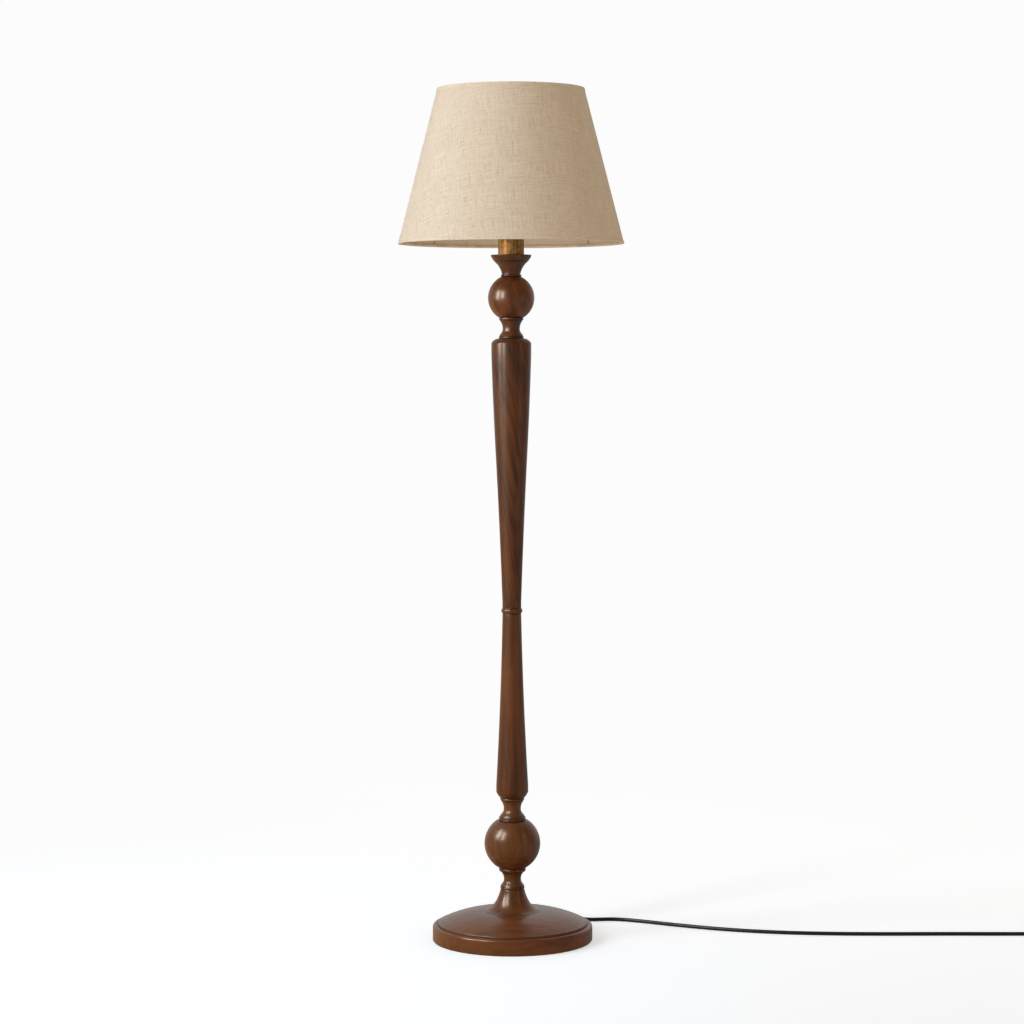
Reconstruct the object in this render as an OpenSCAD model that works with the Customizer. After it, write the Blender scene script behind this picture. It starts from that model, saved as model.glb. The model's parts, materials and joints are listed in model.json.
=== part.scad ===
// Candlestick floor lamp: turned dark wood stem on a weighted round base, with a linen drum shade.
// Origin: centre of the base on the floor. +Z up, front towards -Y. Millimetres.

/* [Base] */
// Radius of the base at its rim
base_r = 142.8; // [125:0.2:170]
// Height of the base from its underside to the flat that carries the pedestal
base_h = 52; // [50:0.5:62]
// Thickness of the felt under the base
felt_t = 1; // [1:0.5:4]
// How far the felt stays inside the rim
felt_inset = 1.2; // [1:0.2:8]
// Height of the flat ledge round the dome, above the underside
ledge_h = 27.5; // [24.5:0.5:29]
// Width of the flat ledge round the dome
ledge_w = 9.6; // [6:0.2:14]
// Height of the step from the ledge up to the edge of the dome
step_h = 4; // [2:0.25:6]
// Radius that rounds the top of the rim
rim_round = 4.5; // [2:0.5:8]
// Rise of the dome's curve above the straight line from its edge to its top
dome_bulge = 4.4; // [1:0.1:6]

/* [Turned stem] */
// Radius of the pedestal's foot on the dome
cone_foot_r = 50; // [44:0.5:58]
// Radius of the pedestal's side where it sweeps out into its foot
cone_knee_r = 30.6; // [27:0.1:34]
// Height of that sweep above the foot
cone_knee_h = 14.7; // [10:0.1:18]
// Radius of the pedestal's top
cone_top_r = 21.3; // [18:0.1:26]
// Height of the pedestal
cone_h = 39.5; // [30:0.5:50]
// Hollow of the pedestal's side above the sweep
cone_hollow = 1; // [0.4:0.1:2]
// Radius of the narrow waist of all three spools
spool_waist_r = 15.2; // [13:0.1:17]
// Radius of the spools at the ends of their waist
spool_end_r = 21; // [19:0.1:24]
// Height of the lower spool, between the pedestal and the lower ball
lower_spool_h = 38; // [32:0.5:50]
// Height of the foot spool, between the lower ball and the lower column
foot_spool_h = 40.8; // [32:0.2:50]
// Height of the top spool, between the upper column and the upper ball
top_spool_h = 37; // [30:0.1:50]
// Height of the disc or bead at the end of a spool
fillet_h = 4.8; // [3:0.1:6]
// Radius of the disc under the lower ball
lower_disc_r = 24; // [22:0.1:28]
// Radius of the bead on the lower ball
foot_bead_r = 24.3; // [22:0.1:28]
// Radius of the lower ball
lower_ball_r = 49.8; // [46:0.1:60]
// Height of the lower ball from its centre down to its flat
lower_ball_down = 43.5; // [32:0.1:45]
// Height of the lower ball from its centre up to its flat
lower_ball_up = 41.2; // [32:0.1:44]
// Radius of the upper ball
upper_ball_r = 41.1; // [36:0.1:50]
// Height of the upper ball from its centre down to its flat
upper_ball_down = 34.5; // [28:0.1:37]
// Height of the upper ball from its centre up to its flat
upper_ball_up = 37.5; // [28:0.1:38]
// Radius of the lower column just above its foot
lower_column_r = 28.5; // [24:0.1:36]
// Height of the lower column
lower_column_h = 330; // [250:1:450]
// Radius where the two columns meet
neck_r = 16.7; // [15:0.1:20]
// Height of the lower column's rounded foot
foot_round_h = 10.5; // [8:0.5:20]
// Radius of the upper column at its shoulder
upper_column_r = 35.3; // [30:0.1:42]
// Height of the upper column
upper_column_h = 478; // [380:1:620]
// Height of the upper column's domed shoulder
shoulder_h = 8.3; // [6:0.1:14]
// Height of the bead ring between the columns
ring_h = 10; // [6:0.5:16]
// Radius of the bead ring between the columns
ring_r = 18.9; // [18:0.1:22]

/* [Drip cup] */
// Radius of the cup's thin rim
cup_r = 36; // [32:0.2:46]
// Height of the cup
cup_h = 38; // [32:0.5:50]
// Radius of the cup's neck on the upper ball
cup_neck_r = 16.6; // [15:0.1:20]
// Thickness of the cup's rim
cup_rim_t = 1.4; // [1:0.1:3]
// Depth of the dish inside the rim
cup_dish = 6; // [4:0.5:8]
// Hollow of the flare under the rim
cup_hollow = 2.2; // [1:0.1:4]

/* [Joints inside the stem] */
// Radius of the spigot under each turned piece
spigot_r = 9; // [8:0.1:11]
// Length of the spigot under each turned piece
spigot_l = 8; // [6:0.5:10]
// Radius of the threaded tube through the stem
rod_r = 5; // [4.5:0.1:6]
// Wall of the threaded tube
rod_wall = 0.8; // [0.6:0.1:1]
// Radius of the coupling between the two tubes
coupling_r = 7; // [6.5:0.1:7.5]
// Length of the coupling between the two tubes
coupling_l = 20; // [14:1:30]
// Thickness of the tube's nuts
nut_h = 6; // [4:0.5:8]
// Distance across the corners of the tube's nuts, halved
nut_r = 9.4; // [8.6:0.1:10.5]
// Radius of the bottom washer
washer_r = 17; // [14:0.5:19]
// Thickness of both washers
washer_t = 2; // [1:0.1:3]

/* [Weight] */
// Radius of the iron weight in the base
weight_r = 100; // [80:1:110]
// Thickness of the iron weight
weight_t = 14; // [8:0.5:15]
// Radius of the hole in the middle of the weight
weight_hole_r = 26; // [23:0.5:34]
// Width of the slot that lets the flex through the weight
weight_slot = 36; // [32:1:44]
// Radius of the circle of screws that hold the weight
weight_screw_circle = 80; // [60:1:90]

/* [Flex] */
// Diameter of the flex
cord_d = 7; // [6:0.1:7.4]
// Height of the flex where it leaves the base
exit_z = 11; // [10:0.5:12]
// Direction in which the flex leaves the base, from +X towards +Y
exit_angle = 50; // [30:1:70]
// Radius of the bend that leads the flex up into the tube
bend_r = 20; // [16:0.5:21]
// Outer radius of the bush in the base
bush_r = 6; // [5.2:0.1:7]
// Length of the bush inside the wood
bush_l = 16; // [10:0.5:24]
// Length of the tapered boot outside the base
boot_l = 24; // [20:1:30]
// Radius of the outermost turn of the spare flex
coil_r = 46; // [42:0.5:60]
// Distance from turn to turn and from layer to layer
coil_pitch = 7.8; // [7.5:0.1:9]
// Width of the strap that ties the spare flex
tie_w = 10; // [8:0.5:14]
// Thickness of the strap that ties the spare flex
tie_t = 0.8; // [0.6:0.1:1.2]

/* [Lampholder] */
// Outer radius of the brass sleeve
sleeve_r = 22.9; // [21.4:0.1:26]
// Height of the brass sleeve
sleeve_h = 57; // [54:0.5:64]
// Wall of the brass sleeve
sleeve_wall = 0.8; // [0.6:0.1:1.2]
// Outer radius of the holder inside the sleeve
holder_r = 19.6; // [19.2:0.1:20.2]
// Wall of the holder's cap and skirt
holder_wall = 1.2; // [0.9:0.1:1.6]
// How far the threaded skirt stands above the sleeve
skirt_up = 14; // [12:0.5:20]
// Outer radius of the ring that clamps the shade
clamp_r = 26; // [24:0.5:28]
// Height of the ring that clamps the shade
clamp_h = 7; // [5:0.5:9]
// Number of grip ribs on the clamp ring
clamp_ribs = 24; // [12:1:36]
// Radius of the switch's shaft
key_shaft_r = 2.4; // [2:0.1:2.8]
// Length of the switch's paddle across its shaft
key_w = 13; // [9:0.5:16]

/* [Bulb] */
// Radius of the bulb's screw cap
bulb_cap_r = 13.2; // [12.8:0.1:13.2]
// Radius of the bulb's globe
globe_r = 30; // [25:0.5:40]
// Length of the bulb from its tip to the top of the globe
bulb_l = 108; // [100:1:130]
// Wall of the bulb's glass
glass_t = 0.8; // [0.6:0.1:1.2]

/* [Shade] */
// Radius of the shade at its bottom edge
shade_bottom_r = 200; // [170:1:230]
// Radius of the shade at its top edge
shade_top_r = 130; // [100:1:160]
// Height of the shade
shade_h = 272; // [220:1:320]
// How far the shade's bottom edge hangs below the top of the sleeve
shade_drop = 31.5; // [25:0.5:45]
// Thickness of the shade's lined linen
shade_t = 1.2; // [0.8:0.1:2]
// Width of the edge tape at the top and bottom
trim_w = 5; // [3:0.5:8]
// Thickness of the edge tape
trim_t = 0.5; // [0.3:0.1:0.8]
// Radius of the wire of the shade's two rings
wire_r = 1.9; // [1.7:0.1:2.5]
// Radius of the wire of the fitter's arms
arm_r = 1.6; // [1.2:0.1:1.6]
// Outer radius of the fitter's flat centre ring
fitter_r = 34; // [32:0.5:42]
// Thickness of the fitter's flat centre ring
fitter_t = 1.5; // [1:0.1:2.5]
// Radius of the bend in each fitter arm
arm_bend = 10; // [7:0.5:14]
// Number of fitter arms
arm_count = 4; // [3:1:6]

/* [Plug] */
// Radius of the plug's round face
plug_r = 18; // [16:0.5:20]
// Length of the plug's body
plug_l = 32; // [28:1:40]
// Length of the plug's bend relief
relief_l = 22; // [20:1:28]
// Radius of a plug pin
pin_r = 2.4; // [2:0.1:2.4]
// Length of a plug pin outside the plug
pin_l = 19; // [17:0.5:19]
// Distance between the two plug pins
pin_gap = 19; // [19:0.1:19.2]

/* [Clearances] */
// Between a spigot and its socket
spigot_gap = 0.1; // [0.05:0.05:0.3]
// Between the tube and the bore in the wood
bore_gap = 0.3; // [0.2:0.1:0.6]
// Between a thread or a screw and its hole
thread_gap = 0.05; // [0.05:0.01:0.1]
// Between pieces that turn against each other
turn_gap = 0.3; // [0.2:0.05:0.5]
// Between the flex and what it runs through
cord_gap = 0.1; // [0.05:0.05:0.3]

/* [Hidden] */
$fn = 96;

// Heights of the seats, from the floor up
base_z = felt_t;
cone_z = base_z + base_h;
lower_spool_z = cone_z + cone_h;
lower_ball_z = lower_spool_z + lower_spool_h;
foot_spool_z = lower_ball_z + lower_ball_down + lower_ball_up;
lower_column_z = foot_spool_z + foot_spool_h;
ring_z = lower_column_z + lower_column_h;
upper_column_z = ring_z + ring_h;
top_spool_z = upper_column_z + upper_column_h;
upper_ball_z = top_spool_z + top_spool_h;
cup_z = upper_ball_z + upper_ball_down + upper_ball_up;
cup_floor_z = cup_z + cup_h - cup_dish;
sleeve_top_z = cup_floor_z + sleeve_h;

// Base details
dome_r = base_r - ledge_w;
dome_edge_h = ledge_h + step_h;
edge_round = 1.5;
groove_d = 1;
recess_h = 18.5;
recess_top_z = base_z + recess_h;
well_r = 20;
well_floor_t = 3;
well_top_z = cone_z - spigot_l - well_floor_t;
bore_r = rod_r + bore_gap;
foot_round_r = 1;
cone_edge_t = 0.4;
waist_curve = [[0, 1], [0.1, 0.76], [0.2, 0.43], [0.3, 0.15], [0.42, 0.01], [0.55, 0.02], [0.68, 0.14],
    [0.8, 0.36], [0.91, 0.67], [1, 1]];

// The tube and its nuts
bottom_nut_z = well_top_z - washer_t - nut_h;
tube_bottom_z = bottom_nut_z - 3;
coupling_z = ring_z - spigot_l - coupling_l - 2;
tube_joint_z = coupling_z + coupling_l / 2;
sleeve_floor = 1.2;
top_washer_r = 11;
top_nut_z = cup_floor_z + sleeve_floor + washer_t;
holder_z = top_nut_z + nut_h + 0.3;
tube_top_z = holder_z + 6;
lead_top_z = tube_top_z + 4;

// The lampholder, from its neck up
neck_h = 7;
holder_neck_r = 8;
cap_flare_h = 4;
block_z = holder_z + 16;
block_h = 22;
block_top_z = block_z + block_h;
block_r = holder_r - holder_wall - 0.2;
key_z = block_z + 9;
skirt_z = block_top_z - 6;
skirt_top_z = sleeve_top_z + skirt_up;
lip_h = 1.5;
shell_wall = 0.6;
shell_r = bulb_cap_r + turn_gap + shell_wall;
shell_h = 20;
contact_h = 1.2;
core_r = 1.1;

// The bulb
bulb_z = block_top_z + contact_h + turn_gap;
bulb_tip_h = 2.5;
bulb_cap_z = bulb_z + 6.5;
bulb_cap_h = 20;
bulb_neck_r = bulb_cap_r - 0.6;
globe_z = bulb_z + bulb_l - globe_r;
globe_meet = 50;
stem_h = 22;

// The shade
shade_z = sleeve_top_z - shade_drop;
shade_top_z = shade_z + shade_h;
fitter_z = sleeve_top_z + turn_gap;
clamp_z = fitter_z + fitter_t + turn_gap;
arm_z = fitter_z + fitter_t + arm_r - 0.4;
trim_air = 0.1;
cover_in = trim_t + trim_air;
lean = atan((shade_bottom_r - shade_top_r) / shade_h);

// The flex: where it leaves, and its route on the floor to the first turn of the spare coil
cord_r = cord_d / 2;
boot_end = base_r + boot_l;
exit_dir = [cos(exit_angle), sin(exit_angle), 0];
exit_point = [boot_end * cos(exit_angle), boot_end * sin(exit_angle), exit_z];
tie_gap = 0.3;
coil_z = cord_r + tie_t + tie_gap;
route = [
    [119, 139.6, 8.6], [132, 147.2, 5.6], [146.5, 151.6, 3.8], [164, 154.5, 3.5], [183, 155.5, 3.5],
    [202, 152, 3.5], [219, 145.5, 3.5], [236, 137.5, 3.5], [262, 124, 3.5], [296, 105.5, 3.5],
    [335, 86, 3.5], [380, 66.5, 3.5], [430, 50, 3.5], [485, 37, 3.5], [540, 29, 3.5],
    [595, 24.5, 3.5], [650, 22.5, 3.5], [705, 22, 3.5], [760, 22, 3.5], [815, 21.5, 3.5],
    [870, 20.5, 3.5], [925, 20, 3.6], [970, 20, coil_z - 0.3], [1000, 20, coil_z]
];
coil_start = route[len(route) - 1];
coil_centre = coil_start + [0, coil_r, 0];
coil_turns = 4.25;
coil_steps = 24;
lead_sides = 10;
coil_sides = 6;
plug_up = plug_r - coil_z - coil_pitch;
tail = [[0, 14, 0.15 * plug_up], [0, 26, 0.5 * plug_up], [0, 38, 0.86 * plug_up],
    [0, 48, plug_up], [0, 56, plug_up]];

// Points from p to q, without p, on an arc that stands h out from their chord.
// The arc bulges to the right of the way from p to q, or to its left where h is negative.
function bow(p, q, h, n = 12) =
    let (
        d = q - p,
        c = norm(d),
        r = (c * c / 4 + h * h) / (2 * abs(h)),
        side = [d[1], -d[0]] / c,
        centre = (p + q) / 2 + side * (h - sign(h) * r),
        a0 = atan2(p[1] - centre[1], p[0] - centre[0]),
        turn = atan2(q[1] - centre[1], q[0] - centre[0]) - a0,
        sweep = turn > 180 ? turn - 360 : turn < -180 ? turn + 360 : turn
    )
    [for (i = [1:n]) centre + r * [cos(a0 + sweep * i / n), sin(a0 + sweep * i / n)]];

// Points from p to q on a curve that leaves p and reaches q in the direction of c.
function sweep(p, c, q, n) =
    concat([p], [for (i = [1:n]) let (t = i / n)
        (1 - t) * (1 - t) * p + 2 * t * (1 - t) * c + t * t * q]);

// Outline of a ball from a height below its centre to a height above it, with its centre at zc.
function ball_arc(r, zc, down, up, n = 28) =
    let (a0 = -asin(down / r), a1 = asin(up / r))
    [for (i = [0:n]) let (a = a0 + (a1 - a0) * i / n) [r * cos(a), zc + r * sin(a)]];

// Radius of the shade's outside at a height above its bottom edge.
function shade_r_at(h) = shade_bottom_r + (shade_top_r - shade_bottom_r) * h / shade_h;

// A smooth line through points, n steps from each to the next.
function spline(p, n) =
    let (last = len(p) - 1)
    concat(
        [for (i = [0:last - 1]) for (k = [0:n - 1])
            let (
                t = k / n,
                a = p[max(i - 1, 0)],
                b = p[i],
                c = p[i + 1],
                d = p[min(i + 2, last)]
            )
            0.5 * (2 * b + (c - a) * t + (2 * a - 5 * b + 4 * c - d) * t * t
                + (3 * b - a - 3 * c + d) * t * t * t)],
        [p[last]]
    );

function unit(v) = v / norm(v);

// Directions along a line of points, with the first and last given.
function headings(p, first, last) =
    [for (i = [0:len(p) - 1])
        i == 0 ? first : i == len(p) - 1 ? last : unit(unit(p[i + 1] - p[i]) + unit(p[i] - p[i - 1]))];

// A tube of round section along a line of points, as one closed shell with flat ends.
module swept_tube(points, first, last, r, sides) {
    dirs = headings(points, first, last);
    rings = [for (i = [0:len(points) - 1])
        let (across = unit(cross(dirs[i], [0, 0, 1])), up = cross(across, dirs[i]))
        for (k = [0:sides - 1])
            let (a = 360 * (k + 0.5) / sides) points[i] + r * (cos(a) * across + sin(a) * up)];
    last_ring = len(points) - 1;
    ends = [len(rings), len(rings) + 1];
    walls = [for (i = [0:last_ring - 1]) for (k = [0:sides - 1])
        let (
            m = (k + 1) % sides,
            a = i * sides + k,
            b = i * sides + m,
            c = (i + 1) * sides + m,
            d = (i + 1) * sides + k
        )
        each [[a, b, c], [a, c, d]]];
    caps = [for (k = [0:sides - 1])
        let (m = (k + 1) % sides)
        each [[ends[0], m, k], [ends[1], last_ring * sides + k, last_ring * sides + m]]];
    polyhedron(
        points = concat(rings, [points[0], points[last_ring]]),
        faces = concat(walls, caps)
    );
}

// The spare flex: it winds in on the floor, climbs one layer where it turns back, and winds out.
function coil_point(s) =
    let (
        half = coil_turns * 180,
        inward = s < half ? s : 2 * half - s,
        climb = max(0, min(1, (s - half + 90) / 180)),
        r = coil_r - coil_pitch * inward / 360,
        z = coil_pitch * (1 - cos(180 * climb)) / 2
    )
    coil_centre + [r * cos(s - 90), r * sin(s - 90), z];
coil_rings = coil_turns * coil_steps;
coil_line = [for (i = [0:coil_rings]) coil_point(i * 360 / coil_steps)];
coil_end = coil_line[coil_rings];
coil_path = concat(coil_line, [for (p = tail) coil_end + p]);
coil_gap = min([for (i = [0:coil_rings - coil_steps / 2]) for (j = [i + coil_steps / 2:coil_rings])
    norm(coil_line[i] - coil_line[j])]) - cord_d;
echo(least_gap_between_turns = coil_gap);
plug_point = coil_path[len(coil_path) - 1];
lead_path = spline(concat([exit_point], route), 3);
function path_length(p) = len(p) < 2 ? 0 : [for (i = 0, s = 0; i < len(p); s = s + (i + 1 < len(p)
    ? norm(p[i + 1] - p[i]) : 0), i = i + 1) s][len(p) - 1];
echo(lead_length = path_length(lead_path), coil_length = path_length(coil_path));

// A turned wooden piece: its outline, a spigot below, a socket above and the bore for the tube.
module turned(z, h, outline, spigot = true, socket = true) {
    translate([0, 0, z])
    difference() {
        union() {
            rotate_extrude() polygon(concat([[0, 0]], outline, [[0, h]]));
            if (spigot) translate([0, 0, -spigot_l]) cylinder(r = spigot_r, h = spigot_l + 1);
        }
        translate([0, 0, -spigot_l - 1]) cylinder(r = bore_r, h = h + spigot_l + 2);
        if (socket) translate([0, 0, h - spigot_l - 0.5])
            cylinder(r = spigot_r + spigot_gap, h = spigot_l + 1.5);
    }
}

module wood() { color([0.26, 0.16, 0.11]) children(); }
module brass() { color([0.80, 0.62, 0.32]) children(); }
module steel() { color([0.66, 0.67, 0.69]) children(); }
module iron() { color([0.22, 0.22, 0.23]) children(); }
module black() { color([0.06, 0.06, 0.06]) children(); }
module at_exit() { rotate([0, 0, exit_angle]) children(); }

// A flat round washer or a hexagon nut with its hole for the tube.
module washer(z, r) {
    translate([0, 0, z]) difference() {
        cylinder(r = r, h = washer_t);
        translate([0, 0, -1]) cylinder(r = rod_r + thread_gap, h = washer_t + 2);
    }
}
module nut(z) {
    translate([0, 0, z]) difference() {
        cylinder(r = nut_r, h = nut_h, $fn = 6);
        translate([0, 0, -1]) cylinder(r = rod_r + thread_gap, h = nut_h + 2);
    }
}

// A pan head screw that points up, its head's top on z.
module screw(z, r, l, head_r, head_h) {
    translate([0, 0, z - head_h]) cylinder(r = head_r, h = head_h);
    translate([0, 0, z - 1]) cylinder(r = r, h = l + 1);
}

weight_screw_r = 2.5;
weight_screw_l = 30;
weight_head_r = 5;
weight_head_h = 3;
module at_weight_screws() {
    for (k = [0:2]) rotate([0, 0, exit_angle + 60 + 120 * k])
        translate([weight_screw_circle, 0, 0]) children();
}
clamp_at = 62;
clamp_len = 14;
clamp_w = 26;
clamp_screw_r = 1.75;
clamp_screw_l = 26;
clamp_screw_off = 8;
clamp_head_r = 3.5;
clamp_head_h = 2.2;
module at_clamp_screws() {
    at_exit() for (s = [-1, 1]) translate([clamp_at, s * clamp_screw_off, 0]) children();
}
weight_z = recess_top_z - weight_t;
clamp_z0 = exit_z - 5;

module base_felt() {
    color([0.12, 0.20, 0.14]) cylinder(r = base_r - felt_inset, h = felt_t);
}

module base_disc() {
    p_foot = [base_r, foot_round_r];
    p_rim = [base_r, ledge_h - rim_round];
    p_ledge = [base_r - rim_round, ledge_h];
    p_edge = [dome_r, dome_edge_h - edge_round];
    p_dome = [dome_r - edge_round, dome_edge_h];
    outline = concat(
        [[base_r - foot_round_r, 0]],
        bow([base_r - foot_round_r, 0], p_foot, 0.29 * foot_round_r, 4),
        [p_rim],
        bow(p_rim, p_ledge, 0.207 * rim_round * sqrt(2), 8),
        [[dome_r + 2 * groove_d, ledge_h], [dome_r + groove_d, ledge_h - groove_d],
            [dome_r, ledge_h - groove_d], p_edge],
        bow(p_edge, p_dome, 0.207 * edge_round * sqrt(2), 5),
        bow(p_dome, [cone_foot_r, base_h], dome_bulge, 20)
    );
    wood() difference() {
        translate([0, 0, base_z]) rotate_extrude() polygon(concat([[0, 0]], outline, [[0, base_h]]));
        translate([0, 0, base_z - 1]) cylinder(r = weight_r + 1, h = recess_h + 1);
        translate([0, 0, base_z]) cylinder(r = well_r, h = well_top_z - base_z);
        cylinder(r = bore_r, h = cone_z + 1);
        translate([0, 0, cone_z - spigot_l - 0.5])
            cylinder(r = spigot_r + spigot_gap, h = spigot_l + 1);
        at_exit() translate([weight_r - 5, 0, exit_z]) rotate([0, 90, 0])
            cylinder(r = bush_r + thread_gap, h = base_r);
        at_weight_screws() cylinder(r = weight_screw_r + thread_gap, h = weight_z + weight_screw_l + 1);
        at_clamp_screws() cylinder(r = clamp_screw_r + thread_gap, h = clamp_z0 + clamp_screw_l + 1);
    }
}

module ballast_weight() {
    iron() translate([0, 0, weight_z]) difference() {
        cylinder(r = weight_r, h = weight_t);
        translate([0, 0, -1]) cylinder(r = weight_hole_r, h = weight_t + 2);
        at_exit() translate([0, -weight_slot / 2, -1]) cube([weight_r + 5, weight_slot, weight_t + 2]);
        at_weight_screws() translate([0, 0, -1])
            cylinder(r = weight_screw_r + thread_gap, h = weight_t + 2);
    }
}

module ballast_screws() {
    steel() at_weight_screws() screw(weight_z, weight_screw_r, weight_screw_l, weight_head_r, weight_head_h);
}

module pedestal_cone() {
    foot = [cone_foot_r, cone_edge_t];
    knee = [cone_knee_r, cone_knee_h];
    turn = [cone_knee_r + 0.6 * cone_knee_h, cone_edge_t + 0.8];
    outline = concat([[cone_foot_r, 0]], sweep(foot, turn, knee, 14),
        bow(knee, [cone_top_r, cone_h - 1.2], -cone_hollow, 10), [[cone_top_r - 0.4, cone_h]]);
    wood() turned(cone_z, cone_h, outline);
}

// The hollow waist of a spool, from radius r0 at height z0 to radius r1 at height z1.
// It is narrowest a little below its middle and flares faster at its lower end.
function waist(z0, z1, r0, r1) =
    let (line = [for (p = waist_curve)
        [spool_waist_r + p[1] * ((p[0] < 0.5 ? r0 : r1) - spool_waist_r), z0 + p[0] * (z1 - z0)]])
    spline(line, 2);

// A half-round bead between two heights, on a core and out to its own radius.
function bead(r_core, r_out, z0, z1) =
    concat([[r_core, z0]], bow([r_core, z0], [r_core, z1], r_out - r_core, 8));

module lower_spool() {
    h = lower_spool_h;
    outline = concat(
        bead(spool_end_r - 0.4, spool_end_r + 0.7, 0, fillet_h - 0.6),
        waist(fillet_h - 0.3, h - fillet_h - 2, spool_end_r + 0.3, spool_end_r),
        bead(lower_disc_r - 1.4, lower_disc_r, h - fillet_h - 2, h)
    );
    wood() turned(lower_spool_z, h, outline);
}

module lower_ball() {
    h = lower_ball_down + lower_ball_up;
    wood() turned(lower_ball_z, h, ball_arc(lower_ball_r, lower_ball_down, lower_ball_down, lower_ball_up));
}

module foot_spool() {
    h = foot_spool_h;
    outline = concat(
        bead(foot_bead_r - 1.6, foot_bead_r, 0, 3.4),
        bead(foot_bead_r - 1.8, foot_bead_r - 0.5, 3.4, 7),
        waist(7.2, h - fillet_h, foot_bead_r - 1.8, spool_end_r - 0.6),
        bead(spool_end_r - 0.6, spool_end_r + 0.5, h - fillet_h, h)
    );
    wood() turned(foot_spool_z, h, outline);
}

module lower_column() {
    h = lower_column_h;
    foot = [spool_end_r + 0.3, 0];
    belly = [lower_column_r, foot_round_h];
    full = [lower_column_r, foot_round_h + 13];
    outline = concat([foot], bow(foot, belly, 0.6, 8), [full],
        bow(full, [neck_r, h], -1.5, 16));
    wood() difference() {
        turned(lower_column_z, h, outline);
        translate([0, 0, coupling_z - 1])
            cylinder(r = coupling_r + bore_gap, h = coupling_l + spigot_l);
    }
}

module joint_ring() {
    inset = 0.07 * ring_h;
    outline = concat([[neck_r, 0], [neck_r, inset]],
        bow([neck_r, inset], [neck_r, ring_h - inset], ring_r - neck_r, 12), [[neck_r, ring_h]]);
    wood() difference() {
        translate([0, 0, ring_z]) rotate_extrude() polygon(concat([[0, 0]], outline, [[0, ring_h]]));
        translate([0, 0, ring_z - 1]) cylinder(r = spigot_r + spigot_gap, h = ring_h + 2);
    }
}

module upper_column() {
    h = upper_column_h;
    straight = 0.04 * h;
    middle = [neck_r + 0.59 * (upper_column_r - neck_r), 0.557 * h];
    shoulder = [upper_column_r, h - shoulder_h - straight];
    round_start = [upper_column_r, h - shoulder_h];
    round_end = [spool_end_r + 1.6, h];
    outline = concat([[neck_r, 0], [neck_r, 0.02 * h]],
        bow([neck_r, 0.02 * h], middle, -0.6, 12),
        bow(middle, shoulder, 0.6, 12), [round_start],
        bow(round_start, round_end, 1.9, 10));
    wood() {
        turned(upper_column_z, h, outline);
        translate([0, 0, ring_z - spigot_l]) difference() {
            cylinder(r = spigot_r, h = ring_h + spigot_l);
            translate([0, 0, -1]) cylinder(r = bore_r, h = ring_h + spigot_l + 2);
        }
    }
}

module top_spool() {
    h = top_spool_h;
    outline = concat(
        bead(spool_end_r + 0.3, spool_end_r + 1.2, 0, 3.4),
        waist(3.6, h - fillet_h, spool_end_r + 0.8, spool_end_r - 0.5),
        bead(spool_end_r - 0.6, spool_end_r + 0.8, h - fillet_h, h)
    );
    wood() turned(top_spool_z, h, outline);
}

module upper_ball() {
    h = upper_ball_down + upper_ball_up;
    wood() turned(upper_ball_z, h, ball_arc(upper_ball_r, upper_ball_down, upper_ball_down, upper_ball_up));
}

module drip_cup() {
    h = cup_h;
    neck_top = [cup_neck_r, 5];
    line_z = h - 12;
    line_r = 29.3;
    under_rim = [cup_r, h - cup_rim_t];
    floor_r = sleeve_r + 1.6;
    outline = concat(
        bead(cup_neck_r + 0.8, cup_neck_r + 2, 0, 2.8),
        [[cup_neck_r, 3.2], neck_top],
        bow(neck_top, [line_r, line_z], -cup_hollow, 12),
        [[line_r - 0.5, line_z + 0.4], [line_r + 0.6, line_z + 0.8]],
        bow([line_r + 0.6, line_z + 0.8], under_rim, 0.4, 6),
        [[cup_r, h - 0.3], [cup_r - 0.3, h], [cup_r - 1.5, h]],
        bow([cup_r - 1.5, h], [floor_r, h - cup_dish], 0.8, 8)
    );
    wood() translate([0, 0, cup_z]) difference() {
        union() {
            rotate_extrude() polygon(concat([[0, 0]], outline, [[0, h - cup_dish]]));
            translate([0, 0, -spigot_l]) cylinder(r = spigot_r, h = spigot_l + 1);
        }
        translate([0, 0, -spigot_l - 1]) cylinder(r = bore_r, h = h + spigot_l + 2);
    }
}

module threaded_tube(z0, z1) {
    steel() translate([0, 0, z0]) difference() {
        cylinder(r = rod_r, h = z1 - z0);
        translate([0, 0, -1]) cylinder(r = rod_r - rod_wall, h = z1 - z0 + 2);
    }
}
module lower_tube() { threaded_tube(tube_bottom_z, tube_joint_z); }
module upper_tube() { threaded_tube(tube_joint_z, tube_top_z); }
module tube_coupling() {
    steel() translate([0, 0, coupling_z]) difference() {
        cylinder(r = coupling_r, h = coupling_l);
        translate([0, 0, -1]) cylinder(r = rod_r + thread_gap, h = coupling_l + 2);
    }
}
module bottom_washer() { steel() washer(well_top_z - washer_t, washer_r); }
module bottom_nut() { steel() nut(bottom_nut_z); }
module top_washer() { steel() washer(cup_floor_z + sleeve_floor, top_washer_r); }
module top_nut() { steel() nut(top_nut_z); }

// The bush in the wood, its flange against the rim and the tapered boot round the flex.
module cord_bush() {
    inside = cord_r + cord_gap;
    flange_r = bush_r + 2.5;
    flange_z = bush_l + 0.2;
    flange_t = 2.2;
    boot_z = flange_z + flange_t;
    black() at_exit() translate([base_r - bush_l, 0, exit_z]) rotate([0, 90, 0])
        rotate_extrude() polygon([
            [inside, 0], [bush_r, 0], [bush_r, flange_z], [flange_r, flange_z],
            [flange_r, boot_z - 0.4], [flange_r - 0.4, boot_z], [bush_r + 0.4, boot_z],
            [inside + boot_wall + 0.6, bush_l + boot_l - 6], [inside + boot_wall, bush_l + boot_l],
            [inside, bush_l + boot_l]
        ]);
}
boot_wall = 0.9;

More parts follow.
